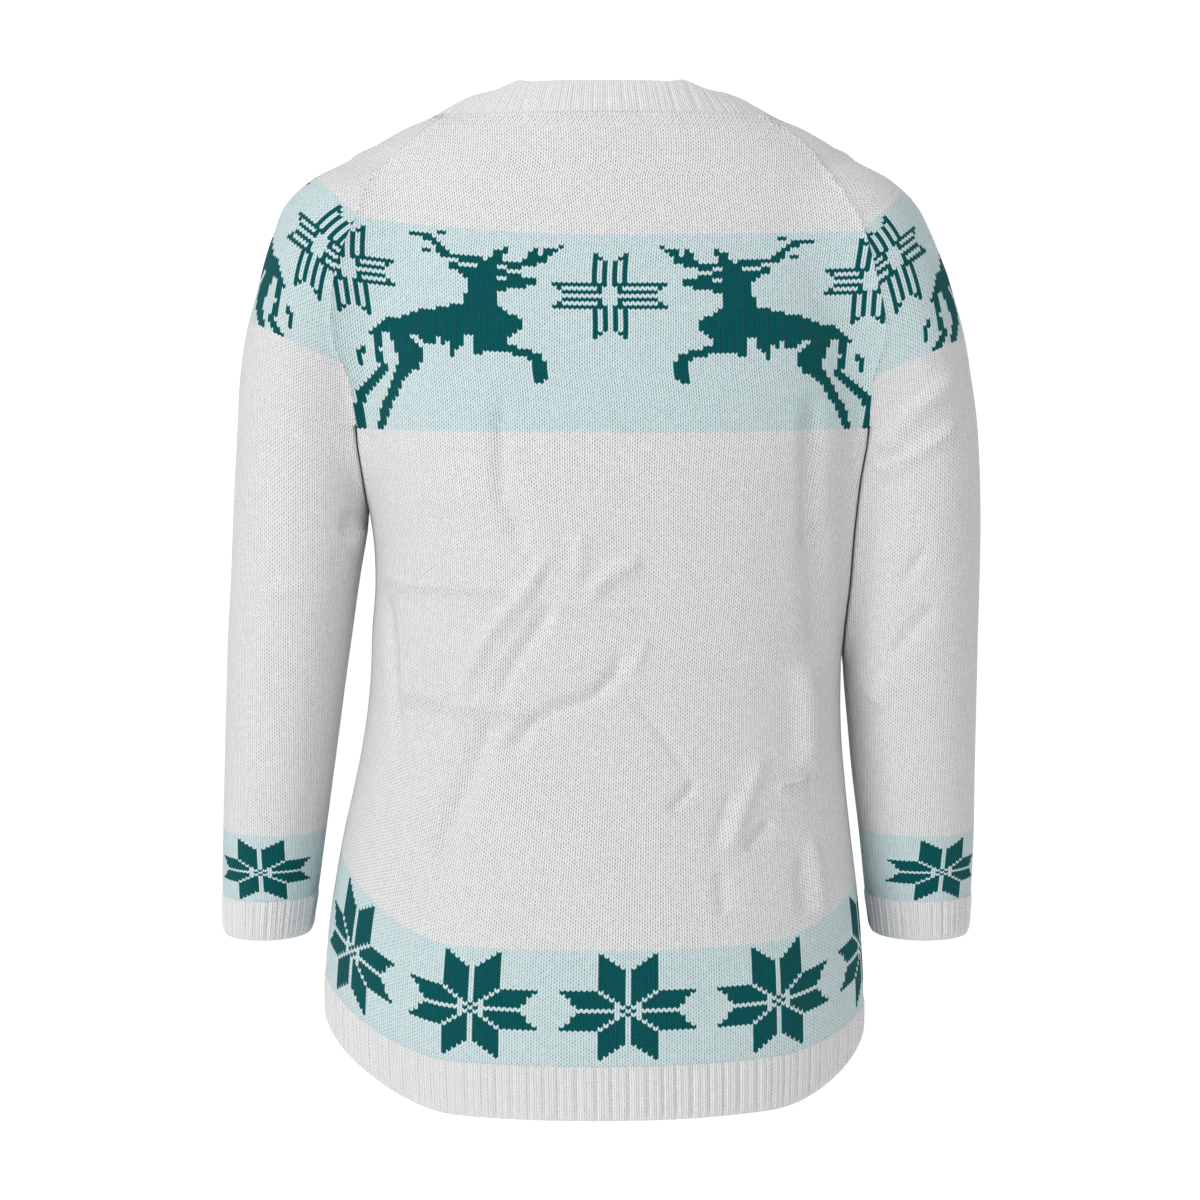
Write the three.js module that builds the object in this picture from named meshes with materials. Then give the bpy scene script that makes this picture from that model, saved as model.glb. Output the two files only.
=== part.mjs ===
// A raglan knit jumper with no wearer, hanging in the form of a general figure. Sizes in mm, +Z up.
// The back of the garment faces -Y and the wearer's right is +X. Z = 0 is the neck seam at the back.
import * as THREE from "three";

const wall = 2.2; // knitted cloth
const seamGap = 0.3; // between pieces that are sewn together
const neckGap = 0.6; // between the neckband and the pieces below it, along the band
const sideClearance = 0.6; // from each of body and sleeve to the plane where they press together
const underarm = -212; // height where the sleeves join the body
const neckBackDepth = 15; // the neck seam is level behind Y = -neckBackDepth
const neckScoop = 0.007; // and falls with the square of the distance in front of it
const ribBulge = 0.9; // half the height of a rib
const raglanRows = 10; // of cells along each raglan seam, the same on both sides of it
const hemRibPitch = 11;
const cuffRibPitch = 7.5;
const neckRibPitch = 9;

// Extents of the figure's torso at each height: left and right from X = 0, back and front from Y = 0
const torsoRows = [
  { z: 30, left: 72, right: 74, back: 52, front: 20 },
  { z: 4, left: 106, right: 110, back: 64, front: 40 },
  { z: -8, left: 135, right: 140, back: 68, front: 46 },
  { z: -25, left: 163.5, right: 168, back: 75, front: 58 },
  { z: -42, left: 184, right: 186, back: 82, front: 70 },
  { z: -60, left: 194, right: 196, back: 88, front: 81 },
  { z: -80, left: 193, right: 197, back: 94, front: 91 },
  { z: -110, left: 188, right: 196, back: 101, front: 104 },
  { z: -150, left: 181, right: 195, back: 107, front: 117 },
  { z: -212, left: 172, right: 188, back: 112, front: 127 },
  { z: -250, left: 166.5, right: 181, back: 112, front: 128 },
  { z: -286, left: 159.3, right: 177, back: 110, front: 124 },
  { z: -321, left: 157.5, right: 174.5, back: 108, front: 118 },
  { z: -356, left: 160, right: 171, back: 107, front: 113 },
  { z: -392, left: 161.6, right: 169.4, back: 107, front: 110 },
  { z: -428, left: 166, right: 170, back: 110, front: 110 },
  { z: -463, left: 172.8, right: 173, back: 116, front: 112 },
  { z: -499, left: 181, right: 177, back: 123, front: 115 },
  { z: -535, left: 187.6, right: 181.5, back: 130, front: 118 },
  { z: -570, left: 192.5, right: 185, back: 134, front: 121 },
  { z: -606, left: 195, right: 187, back: 136, front: 123 },
  { z: -640, left: 194, right: 187, back: 137, front: 124 },
  { z: -680, left: 190, right: 184, back: 137, front: 124 },
];

// Extents of each arm: inner and outer from X = 0, back and front from Y = 0
const leftArmRows = [
  { z: -24, inner: 142, outer: 160, back: 6, front: 6 },
  { z: -42, inner: 138, outer: 192, back: 38, front: 38 },
  { z: -60, inner: 141, outer: 211, back: 50, front: 52 },
  { z: -77, inner: 145, outer: 219.5, back: 56, front: 59 },
  { z: -94, inner: 148, outer: 228, back: 60, front: 64 },
  { z: -111, inner: 150, outer: 235, back: 62, front: 67 },
  { z: -146, inner: 154, outer: 245.5, back: 63, front: 69 },
  { z: -181, inner: 157, outer: 251, back: 62, front: 69 },
  { z: -212, inner: 160, outer: 253, back: 60, front: 68 },
  { z: -250, inner: 160.5, outer: 255.5, back: 58, front: 67 },
  { z: -286, inner: 163.6, outer: 257.7, back: 55, front: 66 },
  { z: -321, inner: 169.5, outer: 259.5, back: 52, front: 65 },
  { z: -356, inner: 174.7, outer: 262, back: 49, front: 64 },
  { z: -392, inner: 180, outer: 263.6, back: 46, front: 63 },
  { z: -428, inner: 185, outer: 265.2, back: 43, front: 62 },
  { z: -463, inner: 190, outer: 266.6, back: 40, front: 61 },
  { z: -499, inner: 195, outer: 268, back: 37, front: 59 },
  { z: -535, inner: 200, outer: 269, back: 33, front: 56 },
  { z: -580, inner: 206, outer: 269, back: 29, front: 52 },
];

const rightArmRows = [
  { z: -24, inner: 144, outer: 162, back: 6, front: 6 },
  { z: -42, inner: 140, outer: 193.5, back: 38, front: 38 },
  { z: -60, inner: 143, outer: 212, back: 50, front: 52 },
  { z: -77, inner: 147, outer: 222.5, back: 56, front: 59 },
  { z: -94, inner: 151, outer: 232, back: 60, front: 64 },
  { z: -111, inner: 155, outer: 241, back: 62, front: 67 },
  { z: -146, inner: 163, outer: 252.5, back: 63, front: 69 },
  { z: -181, inner: 172, outer: 259, back: 62, front: 69 },
  { z: -212, inner: 178, outer: 263.5, back: 60, front: 68 },
  { z: -250, inner: 177, outer: 266, back: 58, front: 67 },
  { z: -286, inner: 175, outer: 267, back: 55, front: 66 },
  { z: -321, inner: 173.5, outer: 267, back: 52, front: 65 },
  { z: -356, inner: 171.2, outer: 266.6, back: 49, front: 64 },
  { z: -392, inner: 172.6, outer: 266.4, back: 46, front: 63 },
  { z: -428, inner: 176, outer: 266.2, back: 43, front: 62 },
  { z: -463, inner: 179, outer: 266, back: 40, front: 61 },
  { z: -499, inner: 183.5, outer: 266, back: 37, front: 59 },
  { z: -535, inner: 187.6, outer: 265, back: 33, front: 56 },
  { z: -580, inner: 193.5, outer: 263.2, back: 29, front: 52 },
];

// The upright plane between body and sleeve, as a distance from X = 0
const partingRows = [
  { z: -212, left: 167, right: 184 },
  { z: -250, left: 163.5, right: 179.3 },
  { z: -286, left: 161.5, right: 176 },
  { z: -321, left: 163.5, right: 174 },
  { z: -356, left: 167.3, right: 171.1 },
  { z: -392, left: 170.8, right: 171 },
  { z: -580, left: 200.5, right: 190 },
];

// The raglan seams' distance from X = 0
const backSeamRows = [
  { z: 0, left: 106, right: 110 },
  { z: -10, left: 118, right: 126 },
  { z: -25, left: 135, right: 142.6 },
  { z: -44, left: 154, right: 157 },
  { z: -70, left: 164, right: 174 },
  { z: -100, left: 177, right: 184 },
  { z: -136, left: 181.5, right: 192.5 },
  { z: -158, left: 179, right: 191.5 },
  { z: -178, left: 171, right: 186 },
  { z: -212, left: 167, right: 184 },
];
const frontSeamRows = [
  { z: -28, left: 108, right: 112 },
  { z: -45, left: 130, right: 136 },
  { z: -75, left: 148, right: 154 },
  { z: -110, left: 160, right: 168 },
  { z: -145, left: 167, right: 178 },
  { z: -178, left: 169, right: 183 },
  { z: -212, left: 167, right: 184 },
];

// How the body and arms run into each other, by height: the width of the soft join
const joinRows = [
  { z: -8, width: 6 },
  { z: -34, width: 20 },
  { z: -60, width: 34 },
  { z: -90, width: 40 },
  { z: -130, width: 28 },
  { z: -175, width: 14 },
  { z: -212, width: 2 },
];

// Heights at the side seams and in the middle of back and front. Each line falls over an angle from
// the side seam, which is wider on the left.
const ribTopLine = { left: -597, right: -617, middle: -634.5 };
const hemLine = { left: -631, right: -643, middle: -672 };
const fallAngle = { left: 52, right: 42 };
const cuffTop = -544.5;
const cuffEnd = -573;

// Soft troughs and ridges on the back and front: a line from (x, z) to (toX, toZ), its width and its height
const folds = [
  { side: -1, x: 137, z: -225, toX: 141, toZ: -395, width: 11, height: -5 },
  { side: -1, x: 155, z: -235, toX: 158, toZ: -380, width: 9, height: 2.5 },
  { side: -1, x: 152, z: -440, toX: 158, toZ: -545, width: 10, height: -4 },
  { side: -1, x: 96, z: -395, toX: 120, toZ: -455, width: 12, height: -3.5 },
  { side: -1, x: -72, z: -420, toX: 8, toZ: -300, width: 14, height: -2.5 },
  { side: -1, x: -148, z: -330, toX: -95, toZ: -332, width: 9, height: -2.5 },
  { side: -1, x: -148, z: -402, toX: -100, toZ: -404, width: 9, height: -2.5 },
  { side: 1, x: -128, z: -230, toX: -134, toZ: -400, width: 12, height: -5 },
  { side: 1, x: 132, z: -235, toX: 138, toZ: -390, width: 12, height: -4.5 },
  { side: 1, x: -60, z: -430, toX: 20, toZ: -330, width: 14, height: -3 },
  { side: 1, x: 146, z: -440, toX: 152, toZ: -545, width: 11, height: -4 },
];

// The value of one column of a table at height z, smooth between rows
function at(rows, column, z) {
  const last = rows.length - 1;
  let i = 0;
  while (i < last - 1 && rows[i + 1].z > z) i += 1;
  const a = rows[i];
  const b = rows[i + 1];
  const before = rows[Math.max(i - 1, 0)];
  const after = rows[Math.min(i + 2, last)];
  const t = Math.min(Math.max((z - a.z) / (b.z - a.z), 0), 1);
  const span = b.z - a.z;
  const slopeA = i === 0 ? 0 : ((b[column] - before[column]) / (b.z - before.z)) * span;
  const slopeB = i + 1 === last ? 0 : ((after[column] - a[column]) / (after.z - a.z)) * span;
  const t2 = t * t;
  const t3 = t2 * t;
  const fromA = (2 * t3 - 3 * t2 + 1) * a[column] + (t3 - 2 * t2 + t) * slopeA;
  return fromA + (3 * t2 - 2 * t3) * b[column] + (t3 - t2) * slopeB;
}

function smoothMin(a, b, width) {
  const h = Math.max(width - Math.abs(a - b), 0) / width;
  return Math.min(a, b) - (h * h * width) / 4;
}

function smoothMax(a, b, width) {
  return -smoothMin(-a, -b, width);
}

// Below zero inside an oval whose quarters have their own half sizes
function oval(x, y, centre, left, right, back, front, power) {
  const a = x < centre ? left : right;
  const b = y < 0 ? back : front;
  const q = Math.pow(Math.pow(Math.abs(x - centre) / a, power) + Math.pow(Math.abs(y) / b, power), 1 / power);
  return (q - 1) * Math.min(a, b);
}

function torso(x, y, z) {
  const left = at(torsoRows, "left", z);
  const right = at(torsoRows, "right", z);
  const centre = (right - left) / 2;
  const half = (right + left) / 2;
  return oval(x, y, centre, half, half, at(torsoRows, "back", z), at(torsoRows, "front", z), 2.15);
}

function armCentre(side, z) {
  const rows = side < 0 ? leftArmRows : rightArmRows;
  const middleX = (at(rows, "inner", z) + at(rows, "outer", z)) / 2;
  const middleY = (at(rows, "front", z) - at(rows, "back", z)) / 2;
  return { x: side * middleX, y: middleY };
}

function arm(side, x, y, z) {
  const rows = side < 0 ? leftArmRows : rightArmRows;
  const centre = armCentre(side, z);
  const half = (at(rows, "outer", z) - at(rows, "inner", z)) / 2;
  const depth = (at(rows, "front", z) + at(rows, "back", z)) / 2;
  const above = Math.max(z - rows[0].z, 0);
  return oval(x, y - centre.y, centre.x, half, half, depth, depth, 2.1) + 2 * above;
}

function sideOf(x) {
  return x < 0 ? "left" : "right";
}

// Shape functions below zero inside: the whole upper figure, the body alone and a sleeve alone
function figure(x, y, z) {
  const width = at(joinRows, "width", z);
  return smoothMin(smoothMin(torso(x, y, z), arm(-1, x, y, z), width), arm(1, x, y, z), width);
}

function bodyOnly(x, y, z) {
  const parting = at(partingRows, sideOf(x), z) - sideClearance;
  return smoothMax(torso(x, y, z), Math.abs(x) - parting, 3);
}

function sleeveOnly(side) {
  const name = side < 0 ? "left" : "right";
  return (x, y, z) => {
    const parting = at(partingRows, name, z) + sideClearance;
    return smoothMax(arm(side, x, y, z), parting - side * x, 3);
  };
}

// The point where a ray from inside leaves a shape
function cast(shape, from, direction) {
  let near = 0;
  let far = 420;
  for (let i = 0; i < 44; i += 1) {
    const middle = (near + far) / 2;
    const p = from.clone().addScaledVector(direction, middle);
    if (shape(p.x, p.y, p.z) < 0) near = middle;
    else far = middle;
  }
  return from.clone().addScaledVector(direction, near);
}

function normalOf(shape, p) {
  const step = 1.5;
  const across = shape(p.x + step, p.y, p.z) - shape(p.x - step, p.y, p.z);
  const along = shape(p.x, p.y + step, p.z) - shape(p.x, p.y - step, p.z);
  const up = shape(p.x, p.y, p.z + step) - shape(p.x, p.y, p.z - step);
  return new THREE.Vector3(across, along, up).normalize();
}

function neckHeight(y) {
  const ahead = Math.max(y + neckBackDepth, 0);
  return -neckScoop * ahead * ahead;
}

// The neck seam on one face of the body at a given x
function neckPoint(side, x) {
  let near = side < 0 ? -neckBackDepth : 0;
  let far = side * 200;
  for (let i = 0; i < 44; i += 1) {
    const middle = (near + far) / 2;
    if (figure(x, middle, neckHeight(middle)) < 0) near = middle;
    else far = middle;
  }
  return new THREE.Vector3(x, near, neckHeight(near));
}

function mix(a, b, t) {
  return a + (b - a) * t;
}

function lineHeight(line, angle) {
  const name = sideOf(Math.sin(angle));
  const fromSeam = Math.asin(Math.abs(Math.cos(angle))) * (180 / Math.PI);
  return mix(line[name], line.middle, THREE.MathUtils.smoothstep(fromSeam, 0, fallAngle[name]));
}

function foldHeight(side, x, z) {
  let height = 0;
  for (const fold of folds) {
    if (fold.side !== side) continue;
    const dx = fold.toX - fold.x;
    const dz = fold.toZ - fold.z;
    const t = Math.min(Math.max(((x - fold.x) * dx + (z - fold.z) * dz) / (dx * dx + dz * dz), 0), 1);
    const away = Math.hypot(x - fold.x - t * dx, z - fold.z - t * dz) / fold.width;
    height += fold.height * Math.exp(-away * away);
  }
  return height;
}

// A closed solid from points with an outer and an inner place each, and the four-sided cells between them
function wallFromCells(points, cells) {
  const positions = [];
  for (const layer of ["outer", "inner"]) {
    for (const point of points) positions.push(...point[layer].toArray());
  }
  const inside = (k) => k + points.length;
  const index = [];
  const quad = (a, b, c, d) => index.push(a, b, c, a, c, d);
  const edges = new Set(cells.flatMap((cell) => cell.map((a, k) => `${a},${cell[(k + 1) % 4]}`)));
  for (const cell of cells) {
    const [a, b, c, d] = cell;
    quad(a, b, c, d);
    quad(inside(a), inside(d), inside(c), inside(b));
    cell.forEach((from, k) => {
      const to = cell[(k + 1) % 4];
      if (!edges.has(`${to},${from}`)) quad(to, from, inside(from), inside(to));
    });
  }
  const geometry = new THREE.BufferGeometry();
  geometry.setAttribute("position", new THREE.Float32BufferAttribute(positions, 3));
  geometry.setIndex(facingOut(positions, index));
  geometry.computeVertexNormals();
  return geometry;
}

// The same triangles, turned over when they enclose a volume below zero
function facingOut(positions, index) {
  let volume = 0;
  const corner = (k) => new THREE.Vector3().fromArray(positions, 3 * index[k]);
  for (let k = 0; k < index.length; k += 3) {
    volume += corner(k).dot(corner(k + 1).cross(corner(k + 2)));
  }
  if (volume > 0) return index;
  return index.map((value, k) => (k % 3 === 0 ? value : index[k + (k % 3 === 1 ? 1 : -1)]));
}

// Cells of a grid of point numbers, whose rows may wrap round
function gridCells(grid, wraps) {
  const cells = [];
  const columns = grid[0].length;
  for (let i = 0; i < grid.length - 1; i += 1) {
    for (let j = 0; j < (wraps ? columns : columns - 1); j += 1) {
      const next = (j + 1) % columns;
      cells.push([grid[i][j], grid[i + 1][j], grid[i + 1][next], grid[i][next]]);
    }
  }
  return cells;
}

function wallPoint(shape, surface, raised = 0) {
  const normal = normalOf(shape, surface);
  return {
    outer: surface.clone().addScaledVector(normal, raised),
    inner: surface.clone().addScaledVector(normal, -wall),
  };
}

function seamDistance(rows, x, z) {
  return at(rows, sideOf(x), z);
}

// The height of a raglan seam on one face: t is 0 at the neck and 1 at the underarm
function seamHeight(face, side, t) {
  const rows = face < 0 ? backSeamRows : frontSeamRows;
  const top = neckPoint(face, side * seamDistance(rows, side, rows[0].z)).z;
  return mix(top, underarm, t);
}

// A point of the upper body, between the raglan seams: f runs from -1 at the left seam to 1 at the
// right one, and v from 0 at the neck to 1 at the underarm
function upperPoint(side, f, v) {
  const rows = side < 0 ? backSeamRows : frontSeamRows;
  const left = -seamDistance(rows, -1, seamHeight(side, -1, v)) + seamGap / 2;
  const right = seamDistance(rows, 1, seamHeight(side, 1, v)) - seamGap / 2;
  const topX = mix(-seamDistance(rows, -1, rows[0].z), seamDistance(rows, 1, rows[0].z), (f + 1) / 2);
  const top = neckPoint(side, topX).z;
  const x = mix(left, right, (f + 1) / 2);
  const z = mix(top, underarm, v);
  return cast(figure, new THREE.Vector3(x, 0, z), new THREE.Vector3(0, side, 0));
}

// A point of the body below the underarm, or of a rib, in the direction of an angle from the middle
function ringPoint(side, angle, z) {
  const centre = (at(torsoRows, "right", z) - at(torsoRows, "left", z)) / 2;
  const direction = new THREE.Vector3(Math.sin(angle), side * Math.cos(angle), 0);
  const point = cast(bodyOnly, new THREE.Vector3(centre, 0, z), direction);
  if (side * point.y < seamGap / 2) point.y = (side * seamGap) / 2;
  return point;
}

function bodyPanel(side) {
  const middleColumns = 22;
  const sideColumns = 3;
  const lowerRows = 12;
  const crowding = 1.2;
  const spread = (j) => Math.sin(crowding * ((2 * j) / middleColumns - 1)) / Math.sin(crowding);
  const points = [];
  const add = (point, shape) => {
    points.push(wallPoint(shape, point, foldHeight(side, point.x, point.z)));
    return points.length - 1;
  };
  const centre = (at(torsoRows, "right", underarm) - at(torsoRows, "left", underarm)) / 2;
  const angles = [];
  for (let j = 0; j <= middleColumns; j += 1) {
    const p = upperPoint(side, -side * spread(j), 1);
    angles.push(Math.atan2(p.x - centre, side * p.y));
  }
  const lowAngles = [...angles];
  for (let k = 1; k <= sideColumns; k += 1) {
    lowAngles.unshift(mix(angles[0], (side * Math.PI) / 2, k / sideColumns));
    lowAngles.push(mix(angles[middleColumns], (-side * Math.PI) / 2, k / sideColumns));
  }
  const lower = [];
  for (let i = 0; i <= lowerRows; i += 1) {
    lower.push(
      lowAngles.map((angle) => {
        const bottom = lineHeight(ribTopLine, angle) + seamGap / 2;
        return add(ringPoint(side, angle, mix(underarm, bottom, i / lowerRows)), bodyOnly);
      }),
    );
  }
  const upper = [];
  for (let i = 0; i < raglanRows; i += 1) {
    const row = [];
    for (let j = 0; j <= middleColumns; j += 1) {
      row.push(add(upperPoint(side, -side * spread(j), i / raglanRows), figure));
    }
    upper.push(row);
  }
  upper.push(lower[0].slice(sideColumns, sideColumns + middleColumns + 1));
  return wallFromCells(points, [...gridCells(upper, false), ...gridCells(lower, false)]);
}

// Angles that divide one face of a body ring into even lengths
function evenAngles(side, z, count) {
  const fine = 360;
  const lengths = [0];
  let before = ringPoint(side, -Math.PI / 2, z);
  for (let k = 1; k <= fine; k += 1) {
    const point = ringPoint(side, -Math.PI / 2 + (Math.PI * k) / fine, z);
    lengths.push(lengths[k - 1] + point.distanceTo(before));
    before = point;
  }
  const angles = [];
  for (let j = 0, k = 0; j <= count; j += 1) {
    const target = (lengths[fine] * j) / count;
    while (k < fine - 1 && lengths[k + 1] < target) k += 1;
    const t = (target - lengths[k]) / (lengths[k + 1] - lengths[k]);
    angles.push(-Math.PI / 2 + (Math.PI * (k + Math.min(t, 1))) / fine);
  }
  return angles;
}

// Ribs are raised on every other column of outer points
function hemRib(side) {
  const ribs = Math.round(515 / hemRibPitch);
  const angles = evenAngles(side, ribTopLine.middle, 2 * ribs);
  const points = [];
  const grid = [0, 1].map((down) =>
    angles.map((angle, j) => {
      const top = lineHeight(ribTopLine, angle) - seamGap / 2;
      const surface = ringPoint(side, angle, mix(top, lineHeight(hemLine, angle), down));
      const atSeam = j === 0 || j === 2 * ribs;
      points.push(wallPoint(bodyOnly, surface, atSeam ? 0 : ribBulge * (j % 2 === 0 ? 1 : -1)));
      return points.length - 1;
    }),
  );
  return wallFromCells(points, gridCells(grid, false));
}

// The neck edge of a sleeve, from the back seam to the front one: c runs from 0 to 1
function sleeveNeckPoint(side, c) {
  const backX = side * (seamDistance(backSeamRows, side, backSeamRows[0].z) + seamGap / 2);
  const frontX = side * (seamDistance(frontSeamRows, side, frontSeamRows[0].z) + seamGap / 2);
  const y = mix(neckPoint(-1, backX).y, neckPoint(1, frontX).y, c);
  return cast(figure, new THREE.Vector3(side * 60, y, neckHeight(y)), new THREE.Vector3(side, 0, 0));
}

// A ring or open section of a sleeve: t is 0 at the neck and 1 at the underarm. Its plane holds both
// seam points and leans outwards, more steeply near the neck.
function sleeveSection(side, t, columns) {
  const seamPoint = (rows, face) => {
    const z = seamHeight(face, side, t);
    const x = side * (seamDistance(rows, side, z) + seamGap / 2);
    return cast(figure, new THREE.Vector3(x, 0, z), new THREE.Vector3(0, face, 0));
  };
  const back = seamPoint(backSeamRows, -1);
  const front = seamPoint(frontSeamRows, 1);
  const middle = back.clone().add(front).multiplyScalar(0.5);
  const toBack = back.clone().sub(front).normalize();
  const lean = ((1 - t) * 62 * Math.PI) / 180;
  const outward = new THREE.Vector3(side * Math.cos(lean), 0, Math.sin(lean));
  outward.addScaledVector(toBack, -outward.dot(toBack)).normalize();
  const reach = t * t * (side * armCentre(side, underarm).x - side * middle.x);
  const centre = middle.clone().addScaledVector(outward, reach);
  const start = Math.atan2(-reach, back.distanceTo(front) / 2);
  const section = [back];
  for (let j = 1; j < columns; j += 1) {
    const angle = mix(start, Math.PI - start, j / columns);
    const direction = toBack.clone().multiplyScalar(Math.cos(angle)).addScaledVector(outward, Math.sin(angle));
    section.push(cast(figure, centre, direction));
  }
  return [...section, front];
}

function sleeveRingPoint(side, angle, z) {
  const centre = armCentre(side, z);
  const direction = new THREE.Vector3(side * Math.sin(angle), -Math.cos(angle), 0);
  return cast(sleeveOnly(side), new THREE.Vector3(centre.x, centre.y, z), direction);
}

function sleeve(side) {
  const outerColumns = 16;
  const innerColumns = 6;
  const ringRows = 10;
  const points = [];
  const add = (point, shape) => {
    points.push(wallPoint(shape, point));
    return points.length - 1;
  };
  const open = [];
  for (let i = 0; i < raglanRows; i += 1) {
    const section = sleeveSection(side, i / raglanRows, outerColumns);
    if (i === 0) section.forEach((p, j) => p.copy(sleeveNeckPoint(side, j / outerColumns)));
    open.push(section.map((p) => add(p, figure)));
  }
  const last = sleeveSection(side, 1, outerColumns);
  const centre = armCentre(side, underarm);
  const angleOf = (p) => Math.atan2(side * (p.x - centre.x), centre.y - p.y);
  const start = angleOf(last[0]);
  const end = angleOf(last[outerColumns]) + 2 * Math.PI;
  const angles = [];
  for (let j = 0; j <= outerColumns; j += 1) angles.push(mix(start, end, j / outerColumns));
  for (let j = 1; j < innerColumns; j += 1) angles.push(mix(end, start + 2 * Math.PI, j / innerColumns));
  const rings = [];
  for (let i = 0; i <= ringRows; i += 1) {
    const z = mix(underarm, cuffTop + seamGap / 2, i / ringRows);
    rings.push(angles.map((angle) => add(sleeveRingPoint(side, angle, z), sleeveOnly(side))));
  }
  open.push(rings[0].slice(0, outerColumns + 1));
  return wallFromCells(points, [...gridCells(open, false), ...gridCells(rings, true)]);
}

function cuff(side) {
  const girth = 232;
  const columns = 2 * Math.round(girth / cuffRibPitch);
  const points = [];
  const grid = [cuffTop - seamGap / 2, cuffEnd].map((z) => {
    const row = [];
    for (let j = 0; j < columns; j += 1) {
      const surface = sleeveRingPoint(side, (2 * Math.PI * j) / columns, z);
      points.push(wallPoint(sleeveOnly(side), surface, j % 2 === 0 ? ribBulge : -ribBulge));
      row.push(points.length - 1);
    }
    return row;
  });
  return wallFromCells(points, gridCells(grid, true));
}

// The neck seam in the direction of an angle from the middle of the back
function neckLoopPoint(angle) {
  let near = 0;
  let far = 200;
  const place = (r) => {
    const y = 6 - r * Math.cos(angle);
    return new THREE.Vector3(2 + r * Math.sin(angle), y, neckHeight(y));
  };
  for (let i = 0; i < 44; i += 1) {
    const middle = (near + far) / 2;
    const p = place(middle);
    if (figure(p.x, p.y, p.z) < 0) near = middle;
    else far = middle;
  }
  return place(near);
}

function neckband() {
  const height = 24;
  const girth = 612;
  const ribs = Math.round(girth / neckRibPitch);
  const steepness = { back: 68, side: 30, front: 62 };
  const points = [];
  const lowRow = [];
  const highRow = [];
  for (let j = 0; j < 2 * ribs; j += 1) {
    const angle = (Math.PI * j) / ribs;
    const step = 0.01;
    const tangent = neckLoopPoint(angle + step).sub(neckLoopPoint(angle - step)).normalize();
    const facing = Math.cos(angle);
    const end = facing > 0 ? steepness.back : steepness.front;
    const slope = (mix(steepness.side, end, THREE.MathUtils.smoothstep(Math.abs(facing), 0.05, 0.95)) * Math.PI) / 180;
    const inward = new THREE.Vector3(-Math.sin(angle), facing, 0);
    const rise = inward.multiplyScalar(Math.cos(slope)).add(new THREE.Vector3(0, 0, Math.sin(slope)));
    const normal = tangent.cross(rise).normalize();
    if (normal.z < 0) normal.negate();
    const base = neckLoopPoint(angle);
    [[neckGap, lowRow], [height, highRow]].forEach(([along, row]) => {
      const surface = base.clone().addScaledVector(rise, along);
      points.push({
        outer: surface.clone().addScaledVector(normal, j % 2 === 0 ? ribBulge : -ribBulge),
        inner: surface.clone().addScaledVector(normal, -wall),
      });
      row.push(points.length - 1);
    });
  }
  return wallFromCells(points, gridCells([highRow, lowRow], true));
}

const pieces = {
  back_panel: () => bodyPanel(-1),
  front_panel: () => bodyPanel(1),
  sleeve_left: () => sleeve(-1),
  sleeve_right: () => sleeve(1),
  neckband,
  hem_rib_back: () => hemRib(-1),
  hem_rib_front: () => hemRib(1),
  cuff_left: () => cuff(-1),
  cuff_right: () => cuff(1),
};

function knitMaterial(name) {
  const ribbed = name.includes("rib") || name.includes("cuff") || name === "neckband";
  return new THREE.MeshStandardMaterial({ color: ribbed ? 0xe2e2e2 : 0xdcdcdc, roughness: 0.95, metalness: 0 });
}

const sweater = new THREE.Group();
for (const [name, build] of Object.entries(pieces)) {
  const mesh = new THREE.Mesh(build(), knitMaterial(name));
  mesh.name = name;
  sweater.add(mesh);
}

export default sweater;
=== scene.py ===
# Raglan Christmas jumper in knit, filled out in the form of a general figure with no wearer.
# Shapes are worked out in millimetres and put into the meshes in metres. The garment's back faces -Y.
import bpy
import math
import numpy as np
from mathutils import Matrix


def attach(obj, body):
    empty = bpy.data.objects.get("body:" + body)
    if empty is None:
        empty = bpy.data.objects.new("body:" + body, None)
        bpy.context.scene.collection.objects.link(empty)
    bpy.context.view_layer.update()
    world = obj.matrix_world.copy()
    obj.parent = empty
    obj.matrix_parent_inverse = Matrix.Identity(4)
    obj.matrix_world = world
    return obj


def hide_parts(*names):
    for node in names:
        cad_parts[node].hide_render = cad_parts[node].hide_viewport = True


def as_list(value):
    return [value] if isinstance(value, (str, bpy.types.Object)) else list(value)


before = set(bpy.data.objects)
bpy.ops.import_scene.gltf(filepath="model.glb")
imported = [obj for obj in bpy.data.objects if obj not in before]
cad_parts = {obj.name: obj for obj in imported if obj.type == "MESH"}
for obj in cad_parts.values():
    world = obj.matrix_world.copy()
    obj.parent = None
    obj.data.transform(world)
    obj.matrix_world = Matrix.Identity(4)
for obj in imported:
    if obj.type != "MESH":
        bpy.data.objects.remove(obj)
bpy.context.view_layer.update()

shot = {"distance": 2.05, "height": -0.12529, "tiltDown": 5.8489, "lens": 87.857, "sensor": 36.0}
studio = {"floor": -1.35, "wall": 4.6, "curve": 1.4, "halfWidth": 9.0, "pale": (0.9, 0.9, 0.9, 1), "glow": 0.42,
          "sky": 0.39, "key": 39.0, "keyPlace": (-2.3, -2.2, 0.9), "keySize": 1.3,
          "top": 40.0, "topPlace": (0.0, -1.6, 2.6), "topSize": 1.6}


def placeCamera():
    # behind the garment's back, a little below the neck, looking slightly down
    lens = bpy.data.cameras.new("camera")
    lens.lens, lens.sensor_width = shot["lens"], shot["sensor"]
    camera = bpy.data.objects.new("camera", lens)
    camera.location = (0, -shot["distance"], shot["height"])
    camera.rotation_euler = (math.radians(90 - shot["tiltDown"]), 0, 0)
    bpy.context.scene.collection.objects.link(camera)
    bpy.context.scene.camera = camera


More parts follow.
